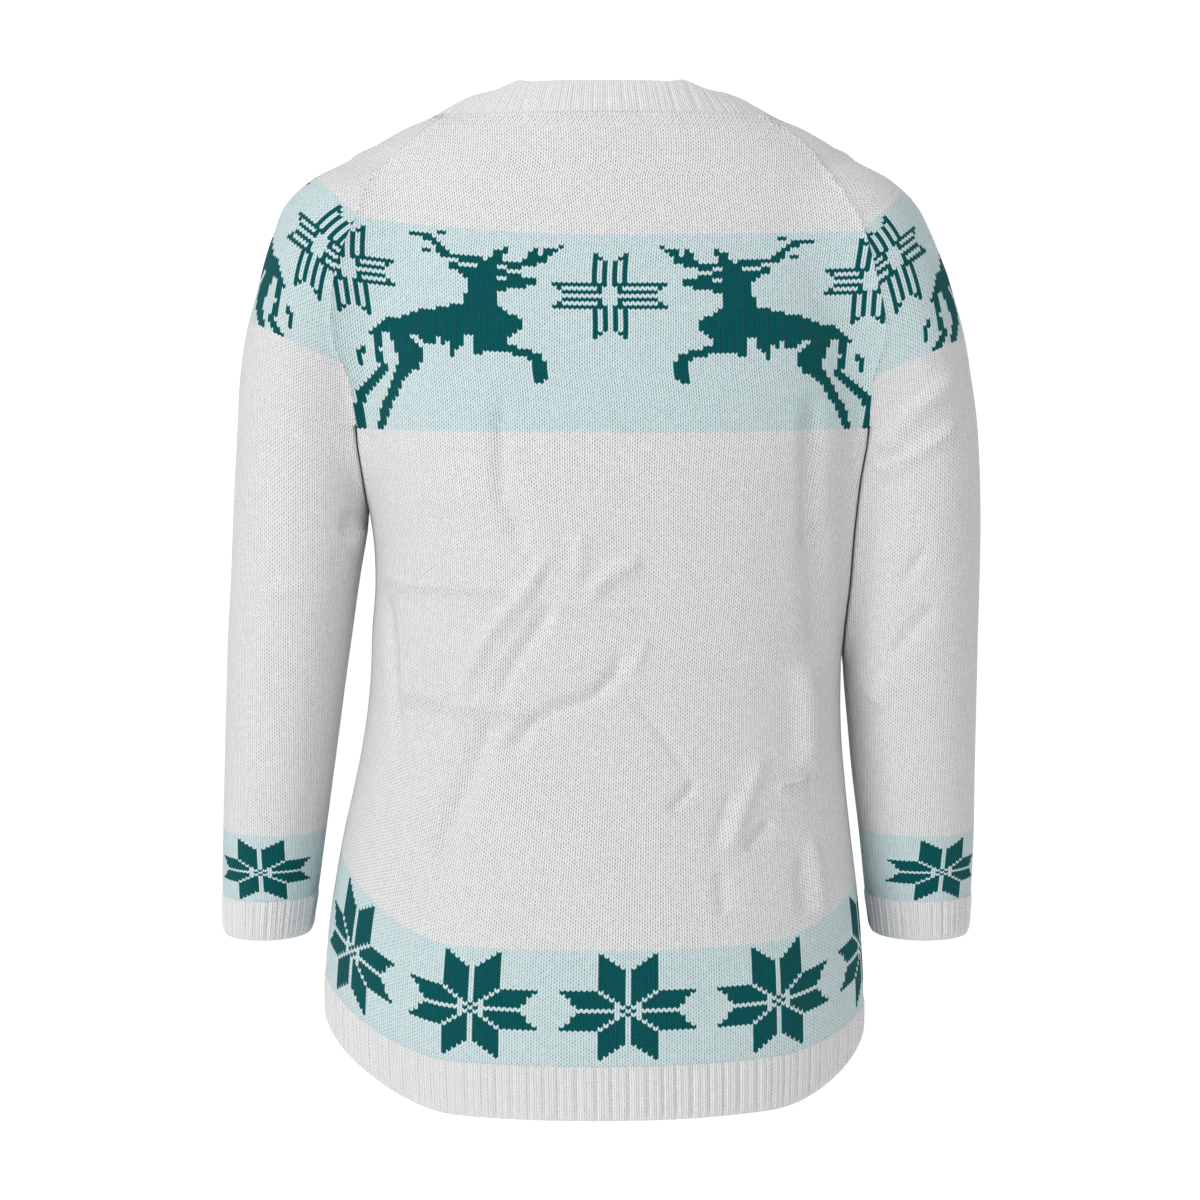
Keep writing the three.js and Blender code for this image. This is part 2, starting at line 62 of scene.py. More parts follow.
def placeLight(name, power, place, size):
    # a soft square light that faces the middle of the garment
    data = bpy.data.lights.new(name, "AREA")
    data.energy, data.size = power, size
    light = bpy.data.objects.new(name, data)
    aim = np.array([0, 0, -0.33]) - np.array(place)
    light.location = place
    light.rotation_euler = (math.acos(-aim[2] / np.linalg.norm(aim)), 0, math.atan2(aim[1], aim[0]) - math.pi / 2)
    bpy.context.scene.collection.objects.link(light)


def placeStage():
    # floor and wall in one sheet: level, then a quarter circle, then upright
    bend = np.radians(np.linspace(0, 90, 25))
    radius = studio["curve"]
    y = np.concatenate([[-6], studio["wall"] - radius + radius * np.sin(bend), [studio["wall"]]])
    z = studio["floor"] + np.concatenate([[0], radius - radius * np.cos(bend), [6]])
    x = np.array([-1, 1]) * studio["halfWidth"]
    points = np.stack([np.repeat(x[None], len(y), 0), np.repeat(y[:, None], 2, 1), np.repeat(z[:, None], 2, 1)], 2)
    index = np.arange(2 * len(y)).reshape(-1, 2)
    quads = np.stack([index[:-1, 0], index[:-1, 1], index[1:, 1], index[1:, 0]], 1)
    mesh = bpy.data.meshes.new("paleStage")
    mesh.from_pydata(points.reshape(-1, 3).tolist(), [], quads.tolist())
    mesh.polygons.foreach_set("use_smooth", [True] * len(mesh.polygons))
    stage = bpy.data.objects.new("paleStage", mesh)
    bpy.context.scene.collection.objects.link(stage)
    paint = bpy.data.materials.new("paleStage")
    paint.use_nodes = True
    surface = paint.node_tree.nodes["Principled BSDF"].inputs
    surface["Base Color"].default_value = studio["pale"]
    surface["Roughness"].default_value = 1.0
    surface["Emission Color"].default_value = (1, 1, 1, 1)
    surface["Emission Strength"].default_value = studio["glow"]
    mesh.materials.append(paint)


def lightSky():
    world = bpy.data.worlds.new("sky")
    world.use_nodes = True
    world.node_tree.nodes["Background"].inputs["Color"].default_value = (1, 1, 1, 1)
    world.node_tree.nodes["Background"].inputs["Strength"].default_value = studio["sky"]
    bpy.context.scene.world = world
    bpy.context.scene.view_settings.view_transform = "Standard"


placeCamera()
placeStage()
lightSky()
placeLight("keyLight", studio["key"], studio["keyPlace"], studio["keySize"])
placeLight("topLight", studio["top"], studio["topPlace"], studio["topSize"])
print("camera, stage and lights placed")

# The general figure, as extents at each height: left and right from X = 0, back and front from Y = 0
torsoForm = {
    "z": [30, 4, -8, -25, -42, -60, -80, -110, -150, -212, -250, -286,
          -321, -356, -392, -428, -463, -499, -535, -570, -606, -640, -680],
    "left": [72, 106, 135, 163.5, 184, 194, 193, 188, 181, 172, 166.5, 159.3,
             157.5, 160, 161.6, 166, 172.8, 181, 187.6, 192.5, 195, 194, 190],
    "right": [74, 110, 140, 168, 186, 196, 197, 196, 195, 188, 181, 177,
              174.5, 171, 169.4, 170, 173, 177, 181.5, 185, 187, 187, 184],
    "back": [52, 64, 68, 75, 82, 88, 94, 101, 107, 112, 112, 110,
             108, 107, 107, 110, 116, 123, 130, 134, 136, 137, 137],
    "front": [20, 40, 46, 58, 70, 81, 91, 104, 117, 127, 128, 124,
              118, 113, 110, 110, 112, 115, 118, 121, 123, 124, 124]}
armHeights = [-24, -42, -60, -77, -94, -111, -146, -181, -212, -250, -286, -321,
              -356, -392, -428, -463, -499, -535, -580]
armDepth = {
    "z": armHeights,
    "back": [6, 38, 50, 56, 60, 62, 63, 62, 60, 58, 55, 52, 49, 46, 43, 40, 37, 33, 29],
    "front": [6, 38, 52, 59, 64, 67, 69, 69, 68, 67, 66, 65, 64, 63, 62, 61, 59, 56, 52]}
armSides = {
    "left": {"z": armHeights,
             "inner": [142, 138, 141, 145, 148, 150, 154, 157, 160, 160.5, 163.6, 169.5,
                       174.7, 180, 185, 190, 195, 200, 206],
             "outer": [160, 192, 211, 219.5, 228, 235, 245.5, 251, 253, 255.5, 257.7, 259.5,
                       262, 263.6, 265.2, 266.6, 268, 269, 269]},
    "right": {"z": armHeights,
              "inner": [144, 140, 143, 147, 151, 155, 163, 172, 178, 177, 175, 173.5,
                        171.2, 172.6, 176, 179, 183.5, 187.6, 193.5],
              "outer": [162, 193.5, 212, 222.5, 232, 241, 252.5, 259, 263.5, 266, 267, 267,
                        266.6, 266.4, 266.2, 266, 266, 265, 263.2]}}
parting = {"z": [-212, -250, -286, -321, -356, -392, -580],
           "left": [167, 163.5, 161.5, 163.5, 167.3, 170.8, 200.5],
           "right": [184, 179.3, 176, 174, 171.1, 171, 190]}
backSeam = {"z": [0, -10, -25, -44, -70, -100, -136, -158, -178, -212],
            "left": [106, 118, 135, 154, 164, 177, 181.5, 179, 171, 167],
            "right": [110, 126, 142.6, 157, 174, 184, 192.5, 191.5, 186, 184]}
frontSeam = {"z": [-28, -45, -75, -110, -145, -178, -212],
             "left": [108, 130, 148, 160, 167, 169, 167],
             "right": [112, 136, 154, 168, 178, 183, 184]}
join = {"z": [-8, -34, -60, -90, -130, -175, -212, -235, -262, -285, -330, -365, -395],
        "left": [6, 20, 34, 40, 32, 28, 26, 22, 8, 1, 1, 1, 1],
        "right": [6, 20, 34, 40, 32, 28, 26, 25, 24, 22, 16, 9, 1]}
figureForm = {"underarm": -212.0, "neckDepth": 15.0, "neckScoop": 0.007, "sideClearance": 0.3, "gap": 0.12}


def readTable(table, name, z):
    # one column at height z: a cubic through the rows with slopes from their neighbours, level at the ends
    heights = np.array(table["z"], float)
    values = np.array(table[name], float)
    slopes = np.zeros(len(heights))
    slopes[1:-1] = (values[2:] - values[:-2]) / (heights[2:] - heights[:-2])
    i = np.clip(np.searchsorted(-heights, -np.asarray(z, float), side="right") - 1, 0, len(heights) - 2)
    span = heights[i + 1] - heights[i]
    t = np.clip((z - heights[i]) / span, 0, 1)
    rest = (t ** 3 - 2 * t ** 2 + t) * slopes[i] + (t ** 3 - t ** 2) * slopes[i + 1]
    return values[i] + (values[i + 1] - values[i]) * (3 * t ** 2 - 2 * t ** 3) + rest * span


def mix(a, b, t):
    return a + (b - a) * t


def smoothStep(t):
    t = np.clip(t, 0, 1)
    return t * t * (3 - 2 * t)


def smoothMin(a, b, width):
    # the lesser of two, rounded off where they are within width of each other
    h = np.maximum(width - np.abs(a - b), 0) / width
    return np.minimum(a, b) - h * h * width / 4


def smoothMax(a, b, width):
    return -smoothMin(-a, -b, width)


def sideName(side):
    return "left" if side < 0 else "right"


def bySide(table, x, z):
    # the left column where x is below zero and the right one elsewhere
    return np.where(np.asarray(x) < 0, readTable(table, "left", z), readTable(table, "right", z))


def oval(x, y, halfWidth, halfDepth, power):
    # below zero inside an oval with rounded square corners
    q = (np.abs(x / halfWidth) ** power + np.abs(y / halfDepth) ** power) ** (1 / power)
    return (q - 1) * np.minimum(halfWidth, halfDepth)


def torsoCentre(z):
    return (readTable(torsoForm, "right", z) - readTable(torsoForm, "left", z)) / 2


def torso(x, y, z):
    half = (readTable(torsoForm, "right", z) + readTable(torsoForm, "left", z)) / 2
    depth = np.where(y < 0, readTable(torsoForm, "back", z), readTable(torsoForm, "front", z))
    return oval(x - torsoCentre(z), y, half, depth, 2.15)


def armCentre(side, z):
    table = armSides[sideName(side)]
    across = side * (readTable(table, "inner", z) + readTable(table, "outer", z)) / 2
    return across, (readTable(armDepth, "front", z) - readTable(armDepth, "back", z)) / 2


def arm(side, x, y, z):
    table = armSides[sideName(side)]
    cx, cy = armCentre(side, z)
    half = (readTable(table, "outer", z) - readTable(table, "inner", z)) / 2
    depth = (readTable(armDepth, "front", z) + readTable(armDepth, "back", z)) / 2
    return oval(x - cx, y - cy, half, depth, 2.1) + 2 * np.maximum(z - armHeights[0], 0)


def figure(x, y, z):
    # torso and arms run into each other, over a width that changes with height
    withLeft = smoothMin(torso(x, y, z), arm(-1, x, y, z), readTable(join, "left", z))
    return smoothMin(withLeft, arm(1, x, y, z), readTable(join, "right", z))


def bodyOnly(x, y, z):
    return smoothMax(figure(x, y, z), np.abs(x) - bySide(parting, x, z) + figureForm["sideClearance"], 2)


def sleeveOnly(side):
    name = sideName(side)

    def shape(x, y, z):
        inner = readTable(parting, name, z) + figureForm["sideClearance"]
        return smoothMax(figure(x, y, z), inner - side * x, 2)
    return shape


def castOut(shape, start, direction):
    # where rays from inside leave a shape, found by halving the step
    start, direction = np.broadcast_arrays(np.asarray(start, float), np.asarray(direction, float))
    along = np.zeros(start.shape[:-1])
    step = 420.0
    for turn in range(24):
        step /= 2
        trial = start + direction * (along + step)[..., None]
        along = np.where(shape(trial[..., 0], trial[..., 1], trial[..., 2]) < 0, along + step, along)
    return start + direction * along[..., None]


def outward(shape, points):
    # the direction in which a shape function grows fastest, as a unit vector
    x, y, z = points[..., 0], points[..., 1], points[..., 2]
    grow = np.stack([shape(x + 1.5, y, z) - shape(x - 1.5, y, z), shape(x, y + 1.5, z) - shape(x, y - 1.5, z),
                     shape(x, y, z + 1.5) - shape(x, y, z - 1.5)], -1)
    return grow / np.linalg.norm(grow, axis=-1, keepdims=True)


def neckHeight(y):
    ahead = np.maximum(y + figureForm["neckDepth"], 0)
    return -figureForm["neckScoop"] * ahead * ahead


def findNeck(place, inside, outside):
    # where a path from inside to outside the figure crosses its surface at the neck seam
    near, far = np.broadcast_arrays(np.asarray(inside, float), np.asarray(outside, float))
    for turn in range(30):
        middle = (near + far) / 2
        within = figure(*place(middle)) < 0
        near, far = np.where(within, middle, near), np.where(within, far, middle)
    return np.stack(place(near), -1)


def neckPoint(face, x):
    x = np.asarray(x, float)
    start = -figureForm["neckDepth"] if face < 0 else 0
    return findNeck(lambda y: (x + 0 * y, y, neckHeight(y)), start + 0 * x, face * 200 + 0 * x)


def seamTable(face):
    return backSeam if face < 0 else frontSeam


def seamTop(face, side):
    table = seamTable(face)
    return neckPoint(face, side * readTable(table, sideName(side), table["z"][0]))[2]


# Knit gauge, relief of the stitches and the wall, in mm
gauge = {"wale": 3.34, "course": 2.47, "wall": 2.0, "furrow": 0.3, "seamRidge": 1.2, "seamWidth": 2.8, "neckRidge": 0.7,
         "sideFurrow": 0.5}
bodyCut = {"backRows": 86, "frontRows": 74, "plainRows": 138, "bandRows": 32, "chestRows": 53,
           "bandTop": {"left": -508, "right": -530, "middle": -556, "leftFall": 52, "rightFall": 45},
           "ribTop": {"left": -597, "right": -617, "middle": -634.5, "leftFall": 52, "rightFall": 42},
           "hemEdge": {"left": -631, "right": -643, "middle": -672, "leftFall": 52, "rightFall": 42},
           "lift": {"left": 13, "right": 3}, "flakeRow": 16, "sideFlakeRow": 13, "starCentre": 6, "starPitch": 29, "starRow": 16}
# Soft troughs and ridges in mm: the face they lie on (back -1, front 1), width, height, and the places x, z of a bent line
bodyFolds = [
    (-1, 5.5, -5.5, [(-66, -185), (-66, -218), (-66, -258), (-59, -272), (-51, -292)]),
    (-1, 5, 4.8, [(-28, -288), (-43, -311), (-57, -330), (-73, -347), (-85, -370), (-92, -389)]),
    (-1, 3.5, -2, [(-33, -299), (-41, -317)]),
    (-1, 5, -4.2, [(-31, -323), (-41, -343), (-52, -359), (-64, -379), (-69, -394)]),
    (-1, 5, 4.4, [(30, -297), (15, -304), (4, -310), (-8, -323)]),
    (-1, 5, 2.4, [(-11, -277), (-16, -314)]),
    (-1, 5, -4.6, [(15, -355), (11, -374), (-3, -389), (-26, -397), (-43, -406), (-57, -421), (-69, -432)]),
    (-1, 3.5, 3.2, [(-144, -388), (-121, -396), (-92, -400), (-67, -402), (-40, -404)]),
    (-1, 3, 2.4, [(-151, -316), (-129, -319), (-98, -319), (-40, -319)]),
    (-1, 3.5, 2.2, [(-35, -327), (-10, -330), (35, -333)]),
    (-1, 7, -5.4, [(-74, -401), (-78, -419), (-86, -441), (-96, -463), (-105, -486), (-112, -503)]),
    (-1, 3, -2, [(23, -393), (35, -405), (46, -422), (62, -445)]),
    (-1, 3.5, -3.2, [(64, -446), (60, -454), (45, -468)]),
    (-1, 3.5, 2.2, [(32, -351), (22, -374)]),
    (-1, 6.5, -7.5, [(142, -187), (143, -219), (143, -246), (143, -273), (146, -301)]),
    (-1, 9, -6, [(144, -274), (147, -308), (150, -343), (149, -367)]),
    (-1, 9, 6, [(137, -369), (142, -398), (143, -425), (141, -449)]),
    (-1, 3, 3, [(119, -455), (144, -452)]),
    (-1, 5.5, 3.2, [(110, -431), (103, -453), (95, -471), (85, -500)]),
    (-1, 5, -2, [(88, -455), (83, -473), (77, -491)]),
    (-1, 4, -3, [(117, -476), (98, -495)]),
    (-1, 5, 3.2, [(144, -489), (150, -520), (152, -545)]),
    (-1, 4.5, -2.4, [(136, -502), (140, -544)]),
    (-1, 5, -2.6, [(81, -506), (84, -538)]),
    (-1, 3.5, -3.4, [(-148, -319), (-143, -358), (-142, -388), (-136, -436)]),
    (-1, 5, -2, [(-145, -511), (-111, -528)]),
    (1, 6, -3.6, [(-132, -196), (-136, -240), (-134, -300), (-139, -340)]),
    (1, 6, -3.4, [(134, -200), (138, -250), (135, -310)]),
    (1, 5, 2.8, [(40, -300), (22, -330), (-4, -352), (-22, -384)]),
    (1, 5, -2.8, [(58, -330), (34, -366), (6, -392), (-30, -408)]),
    (1, 6, -3, [(-70, -360), (-62, -400), (-74, -446), (-96, -490)]),
    (1, 5, 2.4, [(-40, -330), (-66, -352), (-82, -392)]),
    (1, 5, 3, [(-132, -420), (-140, -470), (-146, -520)]),
    (1, 5, 3, [(96, -436), (88, -474), (98, -512)]),
    (1, 4, 1.6, [(146, -392), (110, -402), (64, -400)])]
sleeveFolds = {
    "left": [(-1, 4, 2.6, [(-173, -298), (-165, -282)]), (-1, 4, -3.2, [(-176, -286), (-171, -270)]),
             (-1, 6, 1.6, [(-180, -330), (-206, -322), (-240, -330)]),
             (1, 6, -2.4, [(-180, -236), (-206, -214), (-238, -190)]),
             (1, 5, 2, [(-186, -330), (-214, -318), (-246, -322)]),
             (1, 5, -2, [(-196, -452), (-222, -436), (-252, -440)])],
    "right": [(-1, 7, 4.6, [(246, -171), (210, -204), (192, -230)]), (-1, 4.5, 3.6, [(247, -208), (218, -228), (188, -246)]),
              (-1, 4, -3, [(224, -294), (203, -323)]), (-1, 5, -3.4, [(231, -333), (215, -350), (198, -373)]),
              (-1, 8, 3.4, [(189, -405), (202, -385)]),
              (1, 6, 2.6, [(250, -180), (220, -206), (194, -238)]), (1, 5, -2.2, [(240, -268), (214, -292), (194, -322)]),
              (1, 5, 2, [(246, -372), (218, -384), (192, -414)])]}


def foldHeight(folds, points):
    # each fold is a bell curve of the distance to its line, which sets in and dies away along the line, on the half
    # of the piece that faces its way
    x, y, z = points[..., 0], points[..., 1], points[..., 2]
    height = np.zeros(x.shape)
    for face, width, rise, path in folds:
        nearest, along = np.full(x.shape, 1e9), np.zeros(x.shape)
        for part in range(len(path) - 1):
            (fromX, fromZ), (toX, toZ) = path[part], path[part + 1]
            dx, dz = toX - fromX, toZ - fromZ
            t = np.clip(((x - fromX) * dx + (z - fromZ) * dz) / (dx * dx + dz * dz), 0, 1)
            away = np.hypot(x - fromX - t * dx, z - fromZ - t * dz)
            along = np.where(away < nearest, (part + t) / (len(path) - 1), along)
            nearest = np.minimum(nearest, away)
        fade = smoothStep(0.1 + 5 * np.minimum(along, 1 - along))
        height += rise * fade * np.exp(-(nearest / width) ** 2) * smoothStep(0.5 + face * y / 40)
    return height


def lineHeight(line, angle):
    # a line round the body that falls from each side seam to the middle over its own angle
    fromSeam = np.degrees(np.arcsin(np.abs(np.cos(angle))))
    left = mix(line["left"], line["middle"], smoothStep(fromSeam / line["leftFall"]))
    right = mix(line["right"], line["middle"], smoothStep(fromSeam / line["rightFall"]))
    return np.where(np.sin(angle) < 0, left, right)


def alongRows(fine):
    # the length along each row of a fine grid, from its first point
    steps = np.linalg.norm(np.diff(fine, axis=1), axis=2)
    return np.concatenate([np.zeros((len(fine), 1)), np.cumsum(steps, axis=1)], axis=1)


def layStitches(fine, wanted):
    # points at the wanted lengths along each row of a fine grid, held at its two ends
    length = alongRows(fine)
    spots = [[np.interp(want, have, row[:, c]) for c in range(3)] for want, have, row in zip(wanted, length, fine)]
    return np.array(spots).transpose(0, 2, 1)


def ringPoint(side, angle, z):
    # the body's surface in the direction of an angle from the middle of its back or front
    centre = torsoCentre(z)
    start = np.stack([centre, 0 * z, z], -1)
    direction = np.stack([np.sin(angle), side * np.cos(angle), 0 * angle], -1)
    point = castOut(bodyOnly, start, direction)
    point[..., 1] = side * np.maximum(side * point[..., 1], figureForm["gap"] / 2)
    return point


def upperBody(side, rows):
    # fine rows across the upper body from raglan seam to raglan seam, a little higher at the ends
    table = seamTable(side)
    across = np.linspace(-1, 1, 241)
    down = np.linspace(0, 1, rows + 1)[:, None]
    bow = 4 * down * (1 - down)
    ends = [bodyCut["lift"][name] * bow for name in ("left", "right")]
    leftZ = mix(seamTop(side, -1), figureForm["underarm"], down) + ends[0]
    rightZ = mix(seamTop(side, 1), figureForm["underarm"], down) + ends[1]
    left = -readTable(table, "left", leftZ) + figureForm["gap"] / 2
    right = readTable(table, "right", rightZ) - figureForm["gap"] / 2
    top = neckPoint(side, mix(left[0], right[0], (across + 1) / 2))[:, 2]
    x = mix(left, right, (across + 1) / 2)
    z = mix(top, figureForm["underarm"], down) + np.where(across < 0, ends[0], ends[1]) * across ** 2
    start = np.stack([x, 0 * x, z], -1)
    return castOut(figure, start, [0, side, 0])


def lowerBody(side):
    # fine rows round one half of the body from the underarm to the rib, level at first and then as the hem
    angle = np.linspace(-math.pi / 2, math.pi / 2, 361)
    plain = np.linspace(0, 1, bodyCut["plainRows"] + 1)[:, None]
    band = np.linspace(0, 1, bodyCut["bandRows"] + 1)[1:, None]
    bandTop = lineHeight(bodyCut["bandTop"], angle)
    ribTop = lineHeight(bodyCut["ribTop"], angle) + figureForm["gap"] / 2
    z = np.concatenate([mix(figureForm["underarm"], bandTop, plain), mix(bandTop, ribTop, band)])
    return ringPoint(side, np.broadcast_to(angle, z.shape), z)


def dropCentres(grid, held):
    # the middle of every stitch lies half a course lower than its sides, apart from the first and last row
    moved = grid.copy()
    free = ~held[1:-1, 1::2]
    lower = (grid[1:-1, 1::2] + grid[2:, 1::2]) / 2
    moved[1:-1, 1::2] = np.where(free[..., None], lower, grid[1:-1, 1::2])
    return moved


def putMesh(name, points, corners, counts, uv, dye, onRim):
    # a mesh from flat arrays: points, the corners of all faces in a row, and how many each face has; the edges
    # between the rims and the other faces are sharp
    used, corners = np.unique(corners, return_inverse=True)
    mesh = bpy.data.meshes.new(name)
    mesh.vertices.add(len(used))
    mesh.loops.add(len(corners))
    mesh.polygons.add(len(counts))
    mesh.vertices.foreach_set("co", (points[used] * 0.001).ravel())
    mesh.loops.foreach_set("vertex_index", corners.astype(np.int32))
    mesh.polygons.foreach_set("loop_start", (np.cumsum(counts) - counts).astype(np.int32))
    mesh.polygons.foreach_set("use_smooth", np.ones(len(counts), bool))
    layer = mesh.uv_layers.new(name="stitches")
    layer.data.foreach_set("uv", uv.ravel())
    mesh.update(calc_edges=True)
    edges = np.empty(len(corners), np.int32)
    mesh.loops.foreach_get("edge_index", edges)
    rimSides = np.bincount(edges, weights=np.repeat(onRim, counts), minlength=len(mesh.edges))
    crisp = mesh.attributes.new("sharp_edge", "BOOLEAN", "EDGE")
    crisp.data.foreach_set("value", rimSides == 1)
    shade = mesh.attributes.new("dye", "FLOAT", "FACE")
    shade.data.foreach_set("value", dye.astype(np.float32))
    mesh.validate()
    piece = bpy.data.objects.new(name, mesh)
    bpy.context.scene.collection.objects.link(piece)
    return piece


def sewCloth(name, cloth, grids, rims, chart, turned):
    # a wall of knit: outer faces at full detail, inner faces two stitches at a time, and rims between them
    count = len(cloth["points"])
    outer = cloth["points"] + cloth["normals"] * cloth["relief"][:, None]
    inner = cloth["points"] + cloth["normals"] * (cloth["fold"] - gauge["wall"])[:, None]
    points = np.concatenate([outer, inner])
    same = np.concatenate([cloth["same"], cloth["same"] + count])
    faces = []
    for grid in grids:
        faces.append(np.stack([grid[:-1, :-1], grid[1:, :-1], grid[1:, 1:], grid[:-1, 1:]], -1).reshape(-1, 4))
        half = grid[::2, ::2] + count
        faces.append(np.stack([half[:-1, :-1], half[:-1, 1:], half[1:, 1:], half[1:, :-1]], -1).reshape(-1, 4))
    for rim in rims:
        start, middle, end = rim[:-1:2], rim[1::2], rim[2::2]
        faces.append(np.stack([end, middle, start, start + count, end + count], -1))
    corners, counts, uvs, dyes, onRims = [], [], [], [], []
    uv = np.concatenate([cloth["uv"], cloth["uv"]])
    for number, face in enumerate(faces):
        if turned:
            face = face[:, ::-1]
        merged = same[face]
        keep = merged != np.roll(merged, -1, axis=1)
        whole = keep.sum(1) >= 3
        merged, keep, flat = merged[whole], keep[whole], uv[face[whole]]
        corners.append(merged[keep])
        counts.append(keep.sum(1))
        uvs.append(flat[keep])
        place = (flat * keep[..., None]).sum(1) / keep.sum(1)[:, None]
        dyes.append(chart(np.floor(place[:, 0]), np.floor(place[:, 1])))
        onRims.append(np.full(len(merged), number >= 2 * len(grids)))
    return putMesh(name, points, np.concatenate(corners), np.concatenate(counts), np.concatenate(uvs),
                   np.concatenate(dyes), np.concatenate(onRims))


# The reindeer in strokes, drawn for this part: columns from the snowflake behind it, rows from the top of the band,
# each stroke from one place and half thickness (mm) to another. Then the light strokes that part its legs and head
deerStrokes = {
    "body": [(8.4, 27.2, 6, 16, 26, 10.5), (16, 26, 10.5, 25, 24.5, 13), (25, 25, 14, 30, 25, 14.8),
             (30, 24.6, 14.5, 35.6, 24, 4.5), (22.6, 27, 5, 22, 32.2, 2.4), (16, 27.5, 4, 18.3, 30.3, 1.8)],
    "head": [(29, 11.2, 9.5, 28, 19, 11.6), (31, 12.3, 8, 38.9, 12.7, 2.2), (31.2, 7.5, 4.5, 32.2, 5.4, 2),
             (30.4, 5.7, 1.5, 33, 4.6, 1.5), (22.2, 9.3, 1.9, 26, 11, 4.4)],
    "antlers": [(28.4, 7.8, 1.9, 22, 7.2, 1.9), (22, 7.2, 2.4, 20.3, 5.9, 3), (20.3, 5.9, 3, 17.2, 2.7, 2.7),
                (17.2, 2.5, 1.7, 12.4, 2.1, 1.3), (18.8, 1.1, 2, 20.2, 1, 1.6), (15.9, 6, 1.5, 17.2, 6.1, 1.5),
                (33, 7.8, 1.9, 35.5, 8.6, 2.4), (35.5, 8.6, 2.4, 38.5, 7.2, 2.2), (38.5, 7.2, 2.4, 41, 6.8, 1.9),
                (38.6, 6.6, 2.4, 38.6, 4.6, 2.2), (40.4, 6.4, 2.2, 40.8, 5, 2.2), (40.8, 4.9, 2, 44.3, 3.1, 1.2)],
    "nearHindLeg": [(12, 29.5, 14, 12.5, 34, 9.6), (12.2, 35, 7.6, 9.7, 38, 4.4), (9.7, 38, 4.3, 6, 45, 4.1),
                    (6, 45, 4.1, 3.4, 50, 4), (3.4, 50, 3.8, 2, 52.2, 2.4)],
    "farHindLeg": [(8, 25.8, 3.8, 3.4, 28.8, 2), (3.4, 28.8, 2, 2.5, 28.9, 1.4), (4.3, 29.8, 3.2, 4, 33.5, 3),
                   (4, 33.5, 3, 5.5, 37.4, 3), (5.4, 38, 3, 1.2, 41.4, 2.9), (1.2, 41.4, 2.9, -1.2, 44.1, 2.9),
                   (-1.2, 44.1, 2.9, -2.2, 47, 2.7), (-2.2, 47, 2.7, -2.7, 50.7, 2.9), (-2.7, 50.7, 2.9, -2.4, 53, 1.8)],
    "tail": [(1.4, 32.8, 1.4, -0.2, 35, 2.6), (-0.2, 35, 2.4, -0.5, 38.2, 1.5)],
    "frontLeg": [(27, 30, 5, 34, 30.7, 3), (34, 30.7, 3, 39.3, 32.4, 3), (39.6, 33.5, 4.4, 40, 36.6, 5.4),
                 (40, 36.6, 5.2, 39.5, 38.3, 4.2)]}
deerGaps = [(25.4, 28.3, 3, 25.4, 34, 3.4), (12.8, 28.6, 0.8, 17, 32.3, 3.4), (18.4, 28.6, 1, 20, 33, 3.6),
            (31.3, 11.6, 1.2, 33.3, 11.6, 1.2), (32.6, 9, 1, 37, 10.6, 1.3), (22, 8.3, 1.1, 27, 9.1, 1.4)]


def nearStroke(column, row, stroke):
    # inside a line whose half thickness changes evenly from one end to the other
    fromColumn, fromRow, fromHalf, toColumn, toRow, toHalf = stroke
    x, y = (column - fromColumn) * gauge["wale"], (row - fromRow) * gauge["course"]
    dx, dy = (toColumn - fromColumn) * gauge["wale"], (toRow - fromRow) * gauge["course"]
    t = np.clip((x * dx + y * dy) / (dx * dx + dy * dy), 0, 1)
    return np.hypot(x - t * dx, y - t * dy) < mix(fromHalf, toHalf, t)


def reindeer(column, row):
    dark = np.zeros(column.shape, bool)
    for strokes in deerStrokes.values():
        for stroke in strokes:
            dark |= nearStroke(column, row, stroke)
    for stroke in deerGaps:
        dark &= ~nearStroke(column, row, stroke)
    return dark


def snowflake(i, j, reach):
    # four arms of two double lines round an open middle: upright at columns 1 and 3, level at rows 1 and 3, which
    # reach to a given column
    i, j = np.abs(i), np.abs(j)
    upright = ((i == 1) & (j >= 3) & (j <= 9)) | ((i == 3) & (j >= 3) & (j <= 11)) | ((i == 2) & (j == 10))
    level = ((j == 1) & (i <= reach - 2)) | ((j == 3) & (i <= reach)) | ((j == 2) & (i == reach - 1))
    return upright | (level & (i >= 3)) | ((i == 2) & (j >= 1) & (j <= 3))


def star(i, j):
    # eight petals round a small cross: upright ones between two slanting rows, level ones between two slanting columns;
    # the upper petals are two rows longer than the lower ones
    longest = np.where(j < 0, 10, 8)
    i, j = np.abs(i), np.abs(j)
    upright = (i >= 1) & (i <= 5) & (j >= i + 1) & (j <= i + longest)
    level = (j >= 1) & (j <= 5) & (i >= np.maximum(3, j + 1)) & (i <= 8.5 + 0.8 * j)
    return upright | level | (i + j == 1)


def chestPattern(column, row, rows, startRow, deerShift):
    # pale band with a snowflake every 54 stitches and mirrored reindeer between them, whose noses meet at column 0;
    # the hind feet reach a little past the snowflake behind them
    away, chartRow = np.abs(column), row + startRow
    fromRump = np.where(away > 62, away - 54, 54 - away)
    middleFlake = snowflake(away, chartRow - bodyCut["flakeRow"], 11)
    dark = middleFlake | snowflake(fromRump, chartRow - bodyCut["sideFlakeRow"], 9)
    dark |= reindeer(fromRump - deerShift, chartRow + deerShift)
    return np.where((row >= 0) & (row < rows), np.where(dark, 2.0, 1.0), 0.0)


def starPattern(column, row, rows, pitch, middleRow):
    # pale band with a star every so many stitches
    i = (column + pitch // 2) % pitch - pitch // 2
    inBand = (row >= 0) & (row < rows)
    return np.where(inBand, np.where(star(i, row - middleRow), 2.0, 1.0), 0.0)


